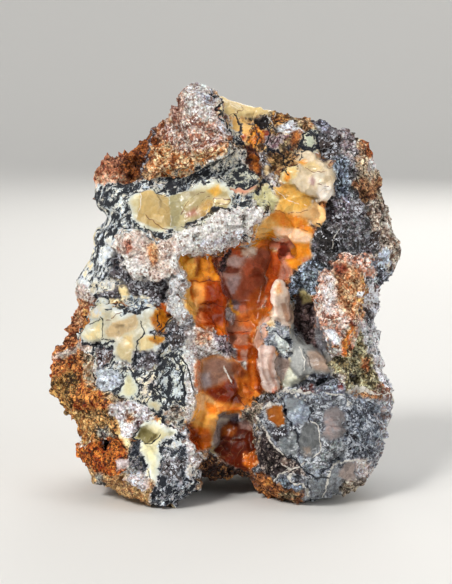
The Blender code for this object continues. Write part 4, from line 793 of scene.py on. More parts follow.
    "tan pane": zone("greyOpal", .4, .4, "58,52,49 46,41,39", "35.8,13.8 38,15 40.2,14.6 39.8,10.6 37,9 "
      "34.8,10.8"),
    "white corner": zone("sugar", .5, .8, "98,96,96", "38.6,15.6 43,16 45.5,13 44,10.6 40.6,10.8 40.4,14",
      pepper=.18, ink=.2),
    "corner crust": zone("tanCrust", .6, .7, "88,82,74 50,43,36", "36,9 41,10.6 44,10 42,5 35,4.4"),
    "orange rim": zone("rustCrust", .4, .7, "78,50,28 40,22,13", "8,12.6 11.8,11.8 15.4,9 19.6,6.9 24.4,5.6 "
      "22,2.5 15,3 9,7.4", crumb=.3, pepper=.24),
    "rim gold dots": zone("ochreRhyolite", .5, .7, "84,60,32", "12.6,10.6 15.6,9.4 15,7.4 12.6,8.6"),
    "rim olive": zone("tanCrust", .5, .7, "76,68,54 40,32,22", "17,6.5 23,5.6 22,3.6 17,4"),
    "lobe right edge": zone("sugar", .8, 1.3, "90,90,91 52,51,53", "46.4,33.6 50,34.4 53,30 52,20 49,14 "
      "46,13 47.4,20 48.4,26", pepper=.24),
    "moss over the pink sugar": zone("mossOpal", .35, 1.1, "80,84,88 82,78,68", "-34.4,84 -33,87.4 -29,87.6 "
      "-24,86.4 -20.6,84.8 -15,86.8 -15,84.6 -20.6,82.4 -25,83.6 -28.6,84.8", ink=.76, soft=.6),
    "moss over the hollow": zone("mossOpal", .35, .9, "78,82,86 80,76,66", "-25,98.4 -21,100.6 -14,100.8 "
      "-12,99 -17,98.2 -21,97.6", ink=.74, soft=.6),
    "sugar by the pillar": zone("sugar", .4, .8, "98,97,95 84,80,78", "-17.4,79 -14,79.8 -13.2,76.6 -14,73.4 "
      "-17,73.6", soft=.5),
    "column light edge": zone("sugar", .4, .7, "100,100,100 88,86,84", "-12,50 -9.6,49 -9.2,40 -9.6,33 "
      "-8.6,29.6 -11,26.6 -12.6,34 -11.8,42", soft=.5),
    "blue white chip": zone("mossOpal", .3, .8, "90,93,96 92,90,84", "-20,20.4 -18,23.4 -13.6,23 -12.6,20.6 "
      "-15,18.8 -18,19", ink=.3),
    "speckle pale foot": zone("mossOpal", .3, .8, "92,93,94 86,82,76", "-12,10 -11.4,14 -8.8,14 -8.4,10.6",
      ink=.34, soft=.5),
    "gold knot at the top": zone("rustCrust", .3, .8, "92,70,40 52,28,10", "13.6,118.4 14.8,121.2 18.4,120.6 "
      "19,118.4 16.6,117.4", soft=.5, crumb=.4),
    "yellow sheet tongue": zone("creamOpal", .3, .8, "90,74,44 84,62,32", "2.6,116.6 3.2,119.6 6,119.4 "
      "8,116.4 6,114.6", gloss=.6),
    "sugar by the belly": zone("sugar", .35, .7, "100,98,95 86,82,78", "-12.8,33 -9.4,33 -8.4,30.4 -9.4,27.8 "
      "-11.4,26.4 -12.8,29", soft=.5),
}

# Narrow lines, width and path: ink is black moss, pale a white vein, rust a red-brown hairline
faceStrokes = {
    "ink": [
        (.62, "-4,127.2 -2.4,126.2 -1,124.3 -2.6,122.6 -.6,121.5 -1.6,120 -.4,118.4"),
        (.6, ".3,119 .8,117.2 1.6,116 2,114.6 3.6,113.4 4.6,112"),
        (.4, "-2,102 .2,101 3,101.6 4.2,103.6 7,104.2 9.4,102.4"),
        (.45, ".6,98.8 3,100.6 4.4,98.8 6.2,97.8 9.4,100 8,101.6"),
        (.34, "-28,89 -25.6,85.4 -22.4,84 -19,83 -15.4,83.8 -12,85.4 -9,87.2 -7,89 -4.4,90 -1,91.4 1.6,91"),
        (.3, "-12,84.6 -9.4,86.4 -7.8,88.8"),
        (.3, "7.4,93.4 10,92.6 13,92 11.4,89.6 9.6,87.4"),
        (.36, "-37.2,59.6 -36.6,57.4 -36.3,53.4"),
        (.3, "-40.4,56.6 -38.4,58 -37,59"),
        (.45, "-25.2,57.6 -24.8,55.6 -24,54.4 -25.8,52.4 -26.3,50 -26.3,48 -27.8,46.4"),
        (.6, "-42.5,51 -39,50.6 -36.6,50.2 -33.4,51.4"),
        (.5, "-39.2,65 -39.4,62.6 -39.8,60 -41.4,56.8 -43.6,54.2"),
        (.55, "-36,61.6 -33,62.4 -30.4,61.8"),
        (.5, "-20.2,54.8 -18.2,56.4 -16.8,58.6"),
        (.4, "-20.2,54.6 -18,54 -16,54.6"),
        (.5, "-17.4,50.4 -19.4,48.2 -20,46"),
        (.5, "-16.6,40.6 -16.2,38 -16.8,35.6 -16.8,33.4"),
        (.7, "-15.8,47.6 -14,45 -12.9,42 -12.6,39 -12.1,35 -12.6,32.4"),
        (.6, "-13.4,47.4 -11.6,44.4 -10.4,41.6 -9.6,38 -8.8,35.4"),
        (.6, "-20,36 -18,34.6 -15,33.6 -12.6,32.4"),
        (.5, "-21.6,40 -22.2,38 -20.6,36.6"),
        (.35, "-31.4,42.4 -31.1,39 -33.6,37 -36.2,36.6"),
        (.4, "-29,43.4 -27,41.6 -24.6,40.2 -22.4,42.6 -20.4,42.8"),
        (.4, "-24,33 -22.6,34.8 -20.6,35.4"),
        (.5, "-22,30.4 -19.6,28.4 -17,26.4 -14.6,25"),
        (.35, "12.6,55.4 15.4,54.8 18,53.2 20.2,51.2"),
        (.3, "15.6,46.6 15.4,44 16.4,41 17.4,39"),
        (.45, "18.1,33 18.3,30.2 19.5,27.6 20.6,25.8"),
        (.45, "18,16.9 20.6,16.2 23.6,13.6 25.6,11.4 28,10.3 31,10.5"),
        (.35, "29,11.6 32,14.2 35.4,16.2"),
        (.5, "26,31.6 25.8,29.4 26.4,27.6"),
        (.5, "21.6,24.4 22.6,22.4 22.8,20"),
        (.4, "-24.6,20.2 -22.4,20.4 -20.6,21.8 -19.6,23.6"),
        (.3, "16.5,102.2 18.8,105 21.8,105.6"),
        (.3, "12.2,119.8 13,118 14.6,116.6 17,115.2"),
        (.22, "23.6,49.6 25.8,46.4 26.4,43.2"),
        (.3, "28.4,88.4 32.6,84.2 35.4,79.4"),
        (.24, "-38,50.6 -36.4,52.4 -33.4,52"),
        (.8, "23.4,112 24,114.6 26,115.4 28,114.2 28.4,111.6 26.8,109.8 24.4,110 23.4,112"),
        (.4, "1,113 3.4,112 6,111.6 7,109.4"),
        (.4, "11.4,110.4 13,109.2 15,110.2 17,108.8"),
        (.35, "9.6,96.6 11,99.8 13.6,100.4 15,98"),
        (.5, "3,120.6 5,117.6 4.2,114.6 6,111.4"),
        (.45, "9,117 10.4,114 9.2,110.8 10.6,107"),
        (.4, "12.4,118 14,115.4 13,112 14.8,109"),
        (.5, "16,110 18.2,108 17.4,105 19.4,102.6"),
        (.4, "22.4,112 24,109.6 23,107.4"),
        (.35, "15,119.4 18,117.8 21,118.4"),
        (.35, "5.6,118.8 8,117 11.4,117.6"),
        (.4, "19,106.4 21.4,108 22.6,110.6"),
        (1.1, "-12,87 -7,89.4 -3.4,91.4 1.4,91.8 5,93.2"),
    ],
    "pale": [
        (1.1, "12.4,31.6 14,32.2 16.4,34.8 19,37 22,36.3 24.6,36 27.4,35.6"),
        (.32, "19.2,36.4 21,35.4 23,34 24.6,33.6"),
        (.65, "31,36 33.4,35.4 35.8,34 38.4,31.8"),
        (.7, "38,36.6 41,37 44,36 47,36 49.6,35.4"),
        (.4, "26.4,27.6 28,26.2 29.3,23.6 29.6,20.4 28.8,17.8 26.6,16.4"),
        (.85, "9.8,28.8 11.8,25.8 13,23 14.3,20.9 16,18.7 17.9,17.2"),
        (.5, "17.4,14.6 19,13.5 20.4,12.9 22.4,13.4 24.4,14.6"),
        (.4, "15.6,9.4 16.8,11.4 18.6,12.4"),
        (.6, "20.3,11.4 20.4,9 22,8 23.6,8.2 24.6,6.2 25.6,4.8"),
        (.6, "31.4,12 30.7,9 30.2,5.4"),
        (.75, "31.6,12 34.8,15 39,15.5 42.4,15.2"),
        (.45, "-.4,44.2 .8,42.2 1.8,39.4"),
        (.35, "35,86 33.6,83.6 33,80"),
        (.22, "-25.2,97.2 -25.8,92.6 -26.8,88"),
        (.2, "-16.8,96 -16.2,91 -16.2,87"),
        (.22, "15.6,97.4 20.4,94.6 26.4,92.4"),
        (.34, "12.6,121 13.8,119 15.2,117.4"),
        (.3, "12.6,118 14,119.4 15.4,120.6"),
        (.3, "22.6,50 24.6,46.4 24.4,42.6"),
    ],
    "rust": [
        (.34, "-24.2,90.2 -21.6,87.8 -18.6,86.4 -16.4,85.6"),
        (.3, "-35.6,58.4 -33,59 -31,60.4"),
        (.26, "5.6,122.8 3.6,121.3 1.4,120.2"),
        (.4, "-21.4,105 -16,105.4 -11,106 -7,107 -3.4,109"),
        (.26, "-3.6,95.2 2,95 1,94 -3.2,93.6 -3.6,95.2"),
        (.3, "2,41 4,36.6 6,32.6"),
        (.3, "-7,62.6 -3.4,62.8 .4,62"),
        (.3, "-10.8,70 -6,70.1 -1,69.8"),
        (.2, "-13.4,90.4 -11.6,93.8 -9,96 -5.6,97.6"),
        (.18, "-8.8,92 -6.4,95 -3.8,96.4"),
        (.3, "1.4,58.4 4.6,57.6 7.4,58"),
        (.3, "1,55 4,54 7.2,54.6"),
        (.3, "-1.6,37.6 1.4,35.6 5.6,35"),
        (.24, "15.4,91.6 19.8,90.6 25.6,91.8"),
        (.2, "17.4,86.4 21.6,86.8 25.4,85.4"),
        (.22, "24.4,104.6 27.6,103 30.6,103.6"),
        (.18, "28.2,99.6 30.6,99 32.8,99.6"),
        (.3, "1.8,39.2 3.4,36 5,33.2"),
    ],
}


def patch(base, size, seed, level, colours="", **changes):
    return dict(look=lookOf(base, colours, changes), size=size, seed=seed, level=level)


# Patches that run round the whole stone, laid down before the face is painted. Each takes in
# the places where a slow noise of that size rises over its level.
aroundPatches = [
    patch("pinkRhyolite", 24, 3, .02),
    patch("whiteRhyolite", 17, 9, .22),
    patch("greySpeckle", 30, 5, .14),
    patch("rustCrust", 19, 2, .30),
    patch("mossOpal", 26, 7, .16),
    patch("creamOpal", 26, 7, .30, "92,88,70", ink=.12),
    patch("sugar", 21, 12, .27),
    patch("darkMatrix", 18, 15, .33),
    patch("rustCrust", 26, 7, .49, "86,56,30 50,23,9", crumb=.3),
]

# Larger areas of the side away from the eye, drawn in the same view as the face
backZones = {
    "back left bark": zone("rustCrust", 2.5, 3, "92,62,36", "-58,22 -58,60 -44,68 -38,52 -36,34 -40,18"),
    "back rust ledge": zone("rustCrust", 2, 3, "74,46,26", "-44,98 -40,110 -18,122 -16,112 -26,100"),
    "back peak": zone("pinkRhyolite", 2, 3, "92,85,79", "-24,108 -16,134 2,130 2,112 -8,104"),
    "back lobe": zone("greySpeckle", 3, 4, "88,90,94", "12,-2 10,28 20,44 38,44 56,38 56,-2", ink=.25),
    "back crust rim": zone("tanCrust", 2.5, 3, "93,84,70", "34,118 46,112 60,92 58,66 46,68 38,90 32,104"),
    "back cream shelf": zone("mossOpal", 1, 3, "85,89,93", "-30,66 -26,92 -6,98 14,90 18,74 4,64 -14,60",
      ink=.6),
    "back cream heart": zone("creamOpal", .8, 2.5, "92,84,64", "-22,72 -20,88 -4,92 9,84 8,74 -8,68", ink=.1,
      rim=.4),
    "back honey heart": zone("creamOpal", 1.5, 2, "90,78,52", "-16,76 -12,86 -2,84 -4,75"),
    "back rust seam": zone("rustCrust", .6, 3, "84,56,30 50,24,10", "-2,50 6,58 12,66 16,66 12,54 4,46",
      crumb=.3),
    "back sugar seam": zone("sugar", .8, 3, "100,99,98", "-8,44 -4,56 10,70 20,74 18,66 12,50 2,40"),
    "back rust seam core": zone("rustCrust", .5, 2.5, "78,44,20 42,17,6", "-1,49 6,57 12,65 15,65 11,54 3,46",
      crumb=.3),
    "back dark foot": zone("darkMatrix", 2, 3, "46,42,43", "-24,2 -28,22 -12,30 0,20 -4,4"),
}

print("stone: zones read")

# The body: its mesh, then its relief. A height goes with a size and the seed of its noise.
body = {
    "cell": 0.57,          # spacing of its points
    "keep": 0.625,         # share of the triangles that is left
    "thinning": 30,        # how much more of the side away from the eye is thinned
    "turnedAway": (0.15, 2.0),     # where that side starts, and how fast the thinning grows there
    "lumps": (0.35, 7.0, 61),
    "crumbs": ((0.9, 2.6, 63), (0.5, 1.3, 65)),
    "grains": (1.0, 1.5, 67),
    "rockChips": ((0.8, 5.0, 71), (0.6, 2.2, 73)),
    "opalWaves": (0.10, 4.5, 69),
    "opalChips": (0.45, 7.0, 75),
    "wholeGrit": 0.3,      # grit that counts as rock and no longer as opal
    "veinHeight": 0.30,
    "veinEdge": (0.6, 1.8),
    "mossDepth": 0.14,
    "mossEdge": (0.6, 1.6),
    "opalRounding": 0.3,
    "hollowShade": 0.26,     # painted shade of hollows
    "edgeLight": 0.12,    # painted light of edges
    "crumbShade": 1.2,         # how much more painted shade and light there is on crumbs
    "fineHollow": (0.18, 0.45),    # the depth that counts as whole, and its share
    "broadHollow": (0.05, 0.55),
    "broadTurns": 6,               # how often the fine hollows are averaged into broad ones
}


def addObject(name, data):
    piece = bpy.data.objects.new(name, data)
    bpy.context.scene.collection.objects.link(piece)
    return piece


def settle(piece):
    # turns the piece's modifiers into mesh
    shape = piece.evaluated_get(bpy.context.evaluated_depsgraph_get())
    made = bpy.data.meshes.new_from_object(shape)
    piece.modifiers.clear()
    piece.vertex_groups.clear()
    before = piece.data
    piece.data = made
    bpy.data.meshes.remove(before)
    made.name = piece.name


def meshArray(mesh, name):
    values = np.zeros(len(mesh.vertices) * 3, np.float32)
    mesh.vertices.foreach_get(name, values)
    return values.reshape(-1, 3).astype(float)


def roughBody():
    # the solid's own mesh with even points, fewer of them where the eye doesn't reach
    welded = bmesh.new()
    welded.from_mesh(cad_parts["opal_rough"].data)
    bmesh.ops.remove_doubles(welded, verts=welded.verts, dist=1e-6)
    mesh = bpy.data.meshes.new("opal_stone")
    welded.to_mesh(mesh)
    welded.free()
    piece = addObject("opal_stone", mesh)
    remesh = piece.modifiers.new("even points", "REMESH")
    remesh.mode = "VOXEL"
    remesh.voxel_size = body["cell"] * mm
    rounded = piece.modifiers.new("softer facets", "SMOOTH")
    rounded.iterations = 2
    settle(piece)
    facing = meshArray(piece.data, "normal") @ eyeWay
    start, by = body["turnedAway"]
    away = np.round(np.clip((start - facing) * by, 0.0, 1.0) * 10)
    behind = piece.vertex_groups.new(name="away")
    for level in range(1, 11):
        behind.add(np.nonzero(away == level)[0].tolist(), level / 10, "REPLACE")
    thin = piece.modifiers.new("thin the back", "DECIMATE")
    thin.ratio = body["keep"]
    thin.vertex_group = behind.name
    thin.vertex_group_factor = body["thinning"]
    thin.use_collapse_triangulate = True
    settle(piece)
    return piece


stone = roughBody()
edges = np.zeros(len(stone.data.edges) * 2, np.int32)
stone.data.edges.foreach_get("vertices", edges)
edges = edges.reshape(-1, 2)
count = len(stone.data.vertices)
links = np.bincount(edges.ravel(), minlength=count).astype(float)


def neighbourMean(values):
    total = np.zeros_like(values)
    for column in range(values.shape[1]):
        first = np.bincount(edges[:, 0], values[edges[:, 1], column], minlength=count)
        second = np.bincount(edges[:, 1], values[edges[:, 0], column], minlength=count)
        total[:, column] = first + second
    return total / links[:, None]


def facesAway(points):
    # normals of the points of the stone at these places
    stone.data.vertices.foreach_set("co", (points * mm).ravel())
    stone.data.update()
    return meshArray(stone.data, "normal")


points = meshArray(stone.data, "co") / mm
normals = facesAway(points)
flat, near = facePlaces(points)
facing = normals @ eyeWay
print("stone: body of", count, "points")

# How borders run. A noise is given as size, depth and seed.
borders = {
    "patchWidth": 0.006,
    "fine": (2.6, 4, 4),
    "broad": (4.0, 3, 14),
    "fineShare": 0.07,
    "broadShare": 0.06,
    "wobble": ((3.2, 5, 21), (3.2, 5, 33)),
    "wobbleBy": 1.3,
    "wobbleSideways": 1.6,     # more of it where the stone turns from the eye
    "sideways": (0.1, 0.7),
    "faceEnd": -11.0,          # how far back the face's own zones reach
    "faceEndBy": 5.0,
    "faceEndNoise": (9.0, 3, 51),
    "faceFade": (-1.2, 1.2),
    "backFade": (-6.0, 2.0),
    "rimWidth": 1.5,
    "rimColour": np.array((.80, .84, .86)),    # of the cream islands
    "rimShare": 0.75,
    "rimLine": 0.18,
    "mossWidth": 1.1,
    "lineWidth": 0.44,
    "lineReach": 3.0,
    "liftEdge": (-0.2, 1.0),
    "lineMoss": 0.9,
    "lineWobble": 0.45,
    "mossyAlready": 0.55,      # a finish with as much moss takes no more from a border
    "mostMoss": 0.8,
}

# Painting: one row of look values for each point
looks = np.zeros((count, 15))
colourStarts = {"tint": 0, "mate": 3, "fleck": 6}
columnOf = {name: 9 + place for place, name in enumerate(amountNames)}
kindOf = np.zeros(count, int)
kinds = ("rock", "opal", "fire", "glass")
lift = np.zeros(count)
lace = np.zeros(count)     # extra moss along borders and strokes
strokeNear = {kind: np.full(count, 9.0) for kind in faceStrokes}
strokeSide = {kind: np.full(count, 9.0) for kind in faceStrokes}


def paint(look, chosen, share):
    row = np.hstack([np.atleast_1d(look[name]) for name in colourNames + amountNames])
    looks[chosen] += share[:, None] * (row - looks[chosen])
    kindOf[chosen[share > 0.5]] = kinds.index(look["kind"])


def nearerStroke(kind, chosen, signed, width):
    distance = np.abs(signed) / width
    closer = distance < strokeNear[kind][chosen]
    rows = chosen[closer]
    strokeNear[kind][rows] = distance[closer]
    strokeSide[kind][rows] = signed[closer] / width


def withinReach(outline, margin):
    low = outline.min(axis=0) - margin
    high = outline.max(axis=0) + margin
    return np.nonzero(((flat > low) & (flat < high)).all(axis=1))[0]


def paintRim(rim, chosen, depth, shares):
    # a pale margin inside the border, a thread of moss on it and more moss round it
    seen = (shares > 0.5) & (borderWave[chosen] > 0.0)
    nearerStroke("ink", chosen[seen], depth[seen], borders["rimLine"])
    margin = borders["rimShare"] * np.exp(-(depth / borders["rimWidth"]) ** 2) * (depth > 0) * shares
    for start in (colourStarts["tint"], colourStarts["mate"]):
        tint = looks[chosen, start:start + 3]
        looks[chosen, start:start + 3] = tint + margin[:, None] * (borders["rimColour"] - tint)
    lace[chosen] = np.maximum(lace[chosen], rim * np.exp(-(depth / borders["mossWidth"]) ** 2))


def paintZones(zones, shares):
    for name, part in zones.items():
        chosen = withinReach(part["outline"], 2.0 + 2.0 * part["ragged"] + part["fade"])
        if len(chosen) == 0:
            print("stone: no points under", name)
            continue
        depth = edgeDepth(flat[chosen] + part["ragged"] * wobble[chosen], part["outline"])
        paint(part["look"], chosen, smoothStep(-part["fade"], part["fade"], depth) * shares[chosen])
        lift[chosen] += part["lift"] * smoothStep(*borders["liftEdge"], depth) * shares[chosen]
        if part["rim"] > 0:
            paintRim(part["rim"], chosen, depth, shares[chosen])


def paintStrokes():
    for kind, lines in faceStrokes.items():
        for width, text in lines:
            path = numbers(text)
            chosen = withinReach(path, borders["lineReach"])
            chosen = chosen[faceShare[chosen] > 0.5]
            signed = lineSide(flat[chosen] + borders["lineWobble"] * wobble[chosen], path)
            nearerStroke(kind, chosen, signed, borders["lineWidth"] * width)
            if kind == "ink":
                moss = width * np.exp(-(signed / borders["lineMoss"]) ** 2)
                lace[chosen] = np.maximum(lace[chosen], moss)


everyPoint = np.arange(count)
paint(finishes["tanCrust"], everyPoint, np.ones(count))
fineWave = wander(points, *borders["fine"])
borderWave = wander(points, *borders["broad"])
for area in aroundPatches:
    wave = wander(points, area["size"], 3, area["seed"])
    wave = wave + borders["fineShare"] * fineWave + borders["broadShare"] * borderWave
    low, high = area["level"] - borders["patchWidth"], area["level"] + borders["patchWidth"]
    paint(area["look"], everyPoint, smoothStep(low, high, wave))

wobble = np.column_stack([wander(points, *way) for way in borders["wobble"]]) * borders["wobbleBy"]
sideways = 1.0 + borders["wobbleSideways"] * (1.0 - smoothStep(*borders["sideways"], facing))
wobble *= sideways[:, None]
faceEnd = near - borders["faceEnd"] + borders["faceEndBy"] * wander(points, *borders["faceEndNoise"])
faceShare = smoothStep(*borders["faceFade"], faceEnd)
paintZones(backZones, 1.0 - smoothStep(*borders["backFade"], faceEnd))
paintZones(faceZones, faceShare)
paintStrokes()
ink = looks[:, columnOf["ink"]]
looks[:, columnOf["ink"]] = np.clip(ink + lace * (ink < borders["mossyAlready"]), 0.0, borders["mostMoss"])
print("stone: painted")


def chipped(height, size, seed):
    return height * chips(points, size, seed)


def waved(height, size, seed):
    return height * wander(points, size, 2, seed)


# Relief: broad lumps, crumbs of crust and grains of sand, each by its own finish
grit = looks[:, columnOf["grit"]]
crumb = looks[:, columnOf["crumb"]]
rocky = np.clip(grit / body["wholeGrit"], 0.0, 1.0)
lumpHeight, lumpSize, lumpSeed = body["lumps"]
relief = lift + lumpHeight * rocky * wander(points, lumpSize, 3, lumpSeed)
for height, size, seed in body["crumbs"]:
    relief += crumb * height * (0.5 - crumbs(points, size, seed))
relief += grit * waved(*body["grains"])
relief += rocky * sum(chipped(*row) for row in body["rockChips"])
relief += (1.0 - rocky) * (waved(*body["opalWaves"]) + chipped(*body["opalChips"]))
inkLine = 1.0 - smoothStep(*body["mossEdge"], strokeNear["ink"])
paleLine = 1.0 - smoothStep(*body["veinEdge"], strokeNear["pale"])
relief += body["veinHeight"] * paleLine - body["mossDepth"] * inkLine
points += normals * relief[:, None]
rounding = body["opalRounding"] * (neighbourMean(points) - points)
points += rounding * ((1.0 - rocky) * (facing > 0))[:, None]
points[:, 2] = np.maximum(points[:, 2], 0.0)
normals = facesAway(points)

# Painted shade and light: the colours come out darker in hollows and lighter on edges
bend = ((neighbourMean(points) - points) * normals).sum(axis=1, keepdims=True)
broad = bend
for turn in range(body["broadTurns"]):
    broad = neighbourMean(broad)
hollow = np.zeros(count)
for depth, (whole, share) in ((bend, body["fineHollow"]), (broad, body["broadHollow"])):
    hollow += np.clip(depth / whole, -1.0, 1.0).ravel() * share
darker = body["hollowShade"] * np.clip(hollow, 0, 1) - body["edgeLight"] * np.clip(-hollow, 0, 1)
shade = 1.0 - (1.0 + body["crumbShade"] * np.clip(crumb, 0, 1)) * darker


def linearColour(colour):
    colour = np.clip(colour, 0.0, 1.0)
    return np.where(colour <= 0.04045, colour / 12.92, ((colour + 0.055) / 1.055) ** 2.4)


def writeColour(name, values):
    layer = stone.data.attributes.new(name, "FLOAT_COLOR", "POINT")
    layer.data.foreach_set("color", np.column_stack((values, np.ones(count))).astype(np.float32).ravel())


def writeNumber(name, values):
    layer = stone.data.attributes.new(name, "FLOAT", "POINT")
    layer.data.foreach_set("value", values.astype(np.float32))


# the colours carry the painted shade of hollows and the painted light of edges
for name, start in colourStarts.items():
    writeColour(name, linearColour(looks[:, start:start + 3]) * shade[:, None])
for name in amountNames[:-1]:      # crumb is shape alone
    writeNumber(name, looks[:, columnOf[name]])
for kind in faceStrokes:
    writeNumber(kind + "Side", strokeSide[kind])
    writeNumber(kind + "Reach", strokeNear[kind])
print("stone: relief cut")


# Shader helpers. A flow is what comes out of a node, and a sum of flows is written as a sum.
class Flow:
    def __init__(self, socket):
        self.socket = socket
        self.tree = socket.id_data

    def __add__(self, other):
        return reckon("ADD", self, other)

    def __radd__(self, other):
        return reckon("ADD", other, self)

    def __sub__(self, other):
        return reckon("SUBTRACT", self, other)

    def __rsub__(self, other):
        return reckon("SUBTRACT", other, self)

    def __mul__(self, other):
        return reckon("MULTIPLY", self, other)


def connect(value, socket):
    if isinstance(value, Flow):
        value.tree.links.new(value.socket, socket)
    else:
        socket.default_value = value


def addNode(tree, kind, inputs=(), **settings):
    node = tree.nodes.new(kind)
    for name, value in settings.items():
        setattr(node, name, value)
    for key, value in dict(inputs).items():
        connect(value, node.inputs[key])
    return node


def flowsOf(node):
    return {socket.name: Flow(socket) for socket in node.outputs}


def made(kind, inputs, output=0, **settings):
    # a node fed by flows, in their own tree, and the flow that comes out of it
    tree = next(value.tree for value in inputs.values() if isinstance(value, Flow))
    return Flow(addNode(tree, kind, inputs, **settings).outputs[output])


def reckon(operation, first, second=0.0, clamp=False):
    return made("ShaderNodeMath", {0: first, 1: second}, operation=operation, use_clamp=clamp)


def scaledSum(value, by, plus):
    return made("ShaderNodeMath", {0: value, 1: by, 2: plus}, operation="MULTIPLY_ADD")


def around(value, by):
    # a noise of 0 to 1 as a swing of that size about zero
    return scaledSum(value, by, -0.5 * by)


def vectors(operation, first, second=(0, 0, 0), third=(0, 0, 0)):
    return made("ShaderNodeVectorMath", {0: first, 1: second, 2: third}, operation=operation)


def dotProduct(first, second):
    return made("ShaderNodeVectorMath", {0: first, 1: second}, "Value", operation="DOT_PRODUCT")


def scaled(vector, by):
    return made("ShaderNodeVectorMath", {0: vector, "Scale": by}, operation="SCALE")


def parts(colour):
    return [Flow(socket) for socket in addNode(colour.tree, "ShaderNodeSeparateColor", {0: colour}).outputs]


def gentle(value, low, high, start=0.0, end=1.0):
    return made("ShaderNodeMapRange", {0: value, 1: low, 2: high, 3: start, 4: end},
                interpolation_type="SMOOTHSTEP")


def mixColour(share, first, second):
    return made("ShaderNodeMix", {0: share, 6: first, 7: second}, 2, data_type="RGBA")


def millimetres(tree):
    return scaled(flowsOf(addNode(tree, "ShaderNodeTexCoord"))["Object"], 1.0 / mm)


def noiseAt(place, scale, detail, roughness):
    inputs = {"Vector": place, "Scale": scale, "Detail": detail, "Roughness": roughness}
    return flowsOf(addNode(place.tree, "ShaderNodeTexNoise", inputs))


def cellsAt(place, scale, feature="F1"):
    inputs = {"Vector": place, "Scale": scale}
    return flowsOf(addNode(place.tree, "ShaderNodeTexVoronoi", inputs, feature=feature))


def newGroup(name, inputs, outputs):
    group = bpy.data.node_groups.new(name, "ShaderNodeTree")
    for words, way in ((inputs, "INPUT"), (outputs, "OUTPUT")):
        for word in words:
            isColour = word in ("Tint", "Mate", "Fleck", "Colour", "Line")
            kind = "NodeSocketColor" if isColour else "NodeSocketFloat"
            group.interface.new_socket(word, in_out=way, socket_type=kind)
    given = flowsOf(group.nodes.new("NodeGroupInput"))
    return group, given, group.nodes.new("NodeGroupOutput").inputs


def send(out, **flows):
    for name, flow in flows.items():
        connect(flow, out[name])


# Noises below are a scale per millimetre, a detail and a roughness
grain = {
    "wave": (0.55, 6.0, 0.72),
    "bendBy": 1.0,
    "cell": 1.35,
    "sand": 2.4,
    "patch": (0.32, 4.0, 0.65),
    "patchBy": 1.7,
    "cluster": (0.3, 4.0, 0.7),
    "crowd": (0.42, 0.62, 0.1, 1.9),       # where flecks gather, and how many come there
    "edge": (0.18, 0.04),                  # width of the colours' border by softness
    "jitter": (1.1, 0.7),                  # of the border by cells and by sand
    "shades": (0.5, 0.5, 1.6),             # brightness by cells, by sand and by the wave
    "gap": (0.36, 0.78, 1.14, 0.5),        # painted light in the middle of a cell and painted shade at its rim
    "grainHue": (.2, .05, .22),
    "slowHue": (.5, .08, .6),
    "shadeBy": (0.95, 0.05),               # how much of all this there is, by hardness
    "fleckShare": 0.85,
    "heights": (-0.8, -0.35, 2.0),         # of cells, sand and wave
}


def makeGrain():
    # mixes two colours by noise and by single grains, and scatters flecks of a third in clusters
    group, given, out = newGroup("mineralGrain", ("Tint", "Mate", "Fleck", "Pepper", "Soft"),
                                 ("Colour", "Height", "Glint"))
    place = millimetres(group)
    wave = noiseAt(place, *grain["wave"])
    bent = vectors("MULTIPLY_ADD", wave["Color"], (grain["bendBy"],) * 3, place)
    cell = cellsAt(bent, grain["cell"])
    sand = cellsAt(bent, grain["sand"])
    own = parts(cell["Color"])
    tiny = parts(sand["Color"])
    slow = parts(wave["Color"])
    hard = 1.0 - given["Soft"]
    half = scaledSum(given["Soft"], *grain["edge"])
    share = gentle(wave["Fac"], 0.5 - half, 0.5 + half)
    jitter = around(own[0], grain["jitter"][0]) + around(tiny[0], grain["jitter"][1])
    share = reckon("ADD", share, jitter * hard, clamp=True)
    colour = mixColour(share, given["Tint"], given["Mate"])
    cellShade, sandShade, slowShade = grain["shades"]
    bright = around(own[1], cellShade) + around(tiny[1], sandShade) + around(slow[2], slowShade)
    # grains come out lighter in their middles and darker at their rims: painted light and shade between
    # grains
    bright = bright + (gentle(cell["Distance"], *grain["gap"]) - 1.0)
    bright = bright + around(noiseAt(place, *grain["patch"])["Fac"], grain["patchBy"])
    bright = bright * scaledSum(hard, *grain["shadeBy"])
    colour = scaled(colour, bright + 1.0)
    middle = [-0.5 * sum(pair) for pair in zip(grain["grainHue"], grain["slowHue"])]
    swing = vectors("MULTIPLY_ADD", wave["Color"], grain["slowHue"], middle)
    swing = vectors("MULTIPLY_ADD", cell["Color"], grain["grainHue"], swing)
    colour = vectors("MULTIPLY", colour, vectors("ADD", scaled(swing, hard), (1, 1, 1)))
    pepper = given["Pepper"] * gentle(noiseAt(place, *grain["cluster"])["Fac"], *grain["crowd"])
    flecks = reckon("MAXIMUM", reckon("LESS_THAN", own[2], pepper), reckon("LESS_THAN", tiny[2], pepper))
    colour = mixColour(flecks * grain["fleckShare"], colour, given["Fleck"])
    cellHeight, sandHeight, waveHeight = grain["heights"]
    height = cell["Distance"] * cellHeight + sand["Distance"] * sandHeight + wave["Fac"] * waveHeight
    send(out, Colour=colour, Height=height, Glint=tiny[1])
    return group


line = {
    "reach": 2.6,
    "mossSwing": 5.0,
    "mossEdge": (0.75, 1.25),
    "veinWave": (0.9, 4.0, 0.6),
    "veinSwing": 3.0,
    "veinEdge": (0.5, 1.3),
}


def drawnLine(given, wave, swing, edge):
    # a line of even width along the drawn one, which it leaves by the swing of the wave
    drawn = reckon("ABSOLUTE", given["Side"] + around(wave, swing))
    return gentle(drawn, *edge, 1.0, 0.0) * reckon("LESS_THAN", given["Reach"], line["reach"])


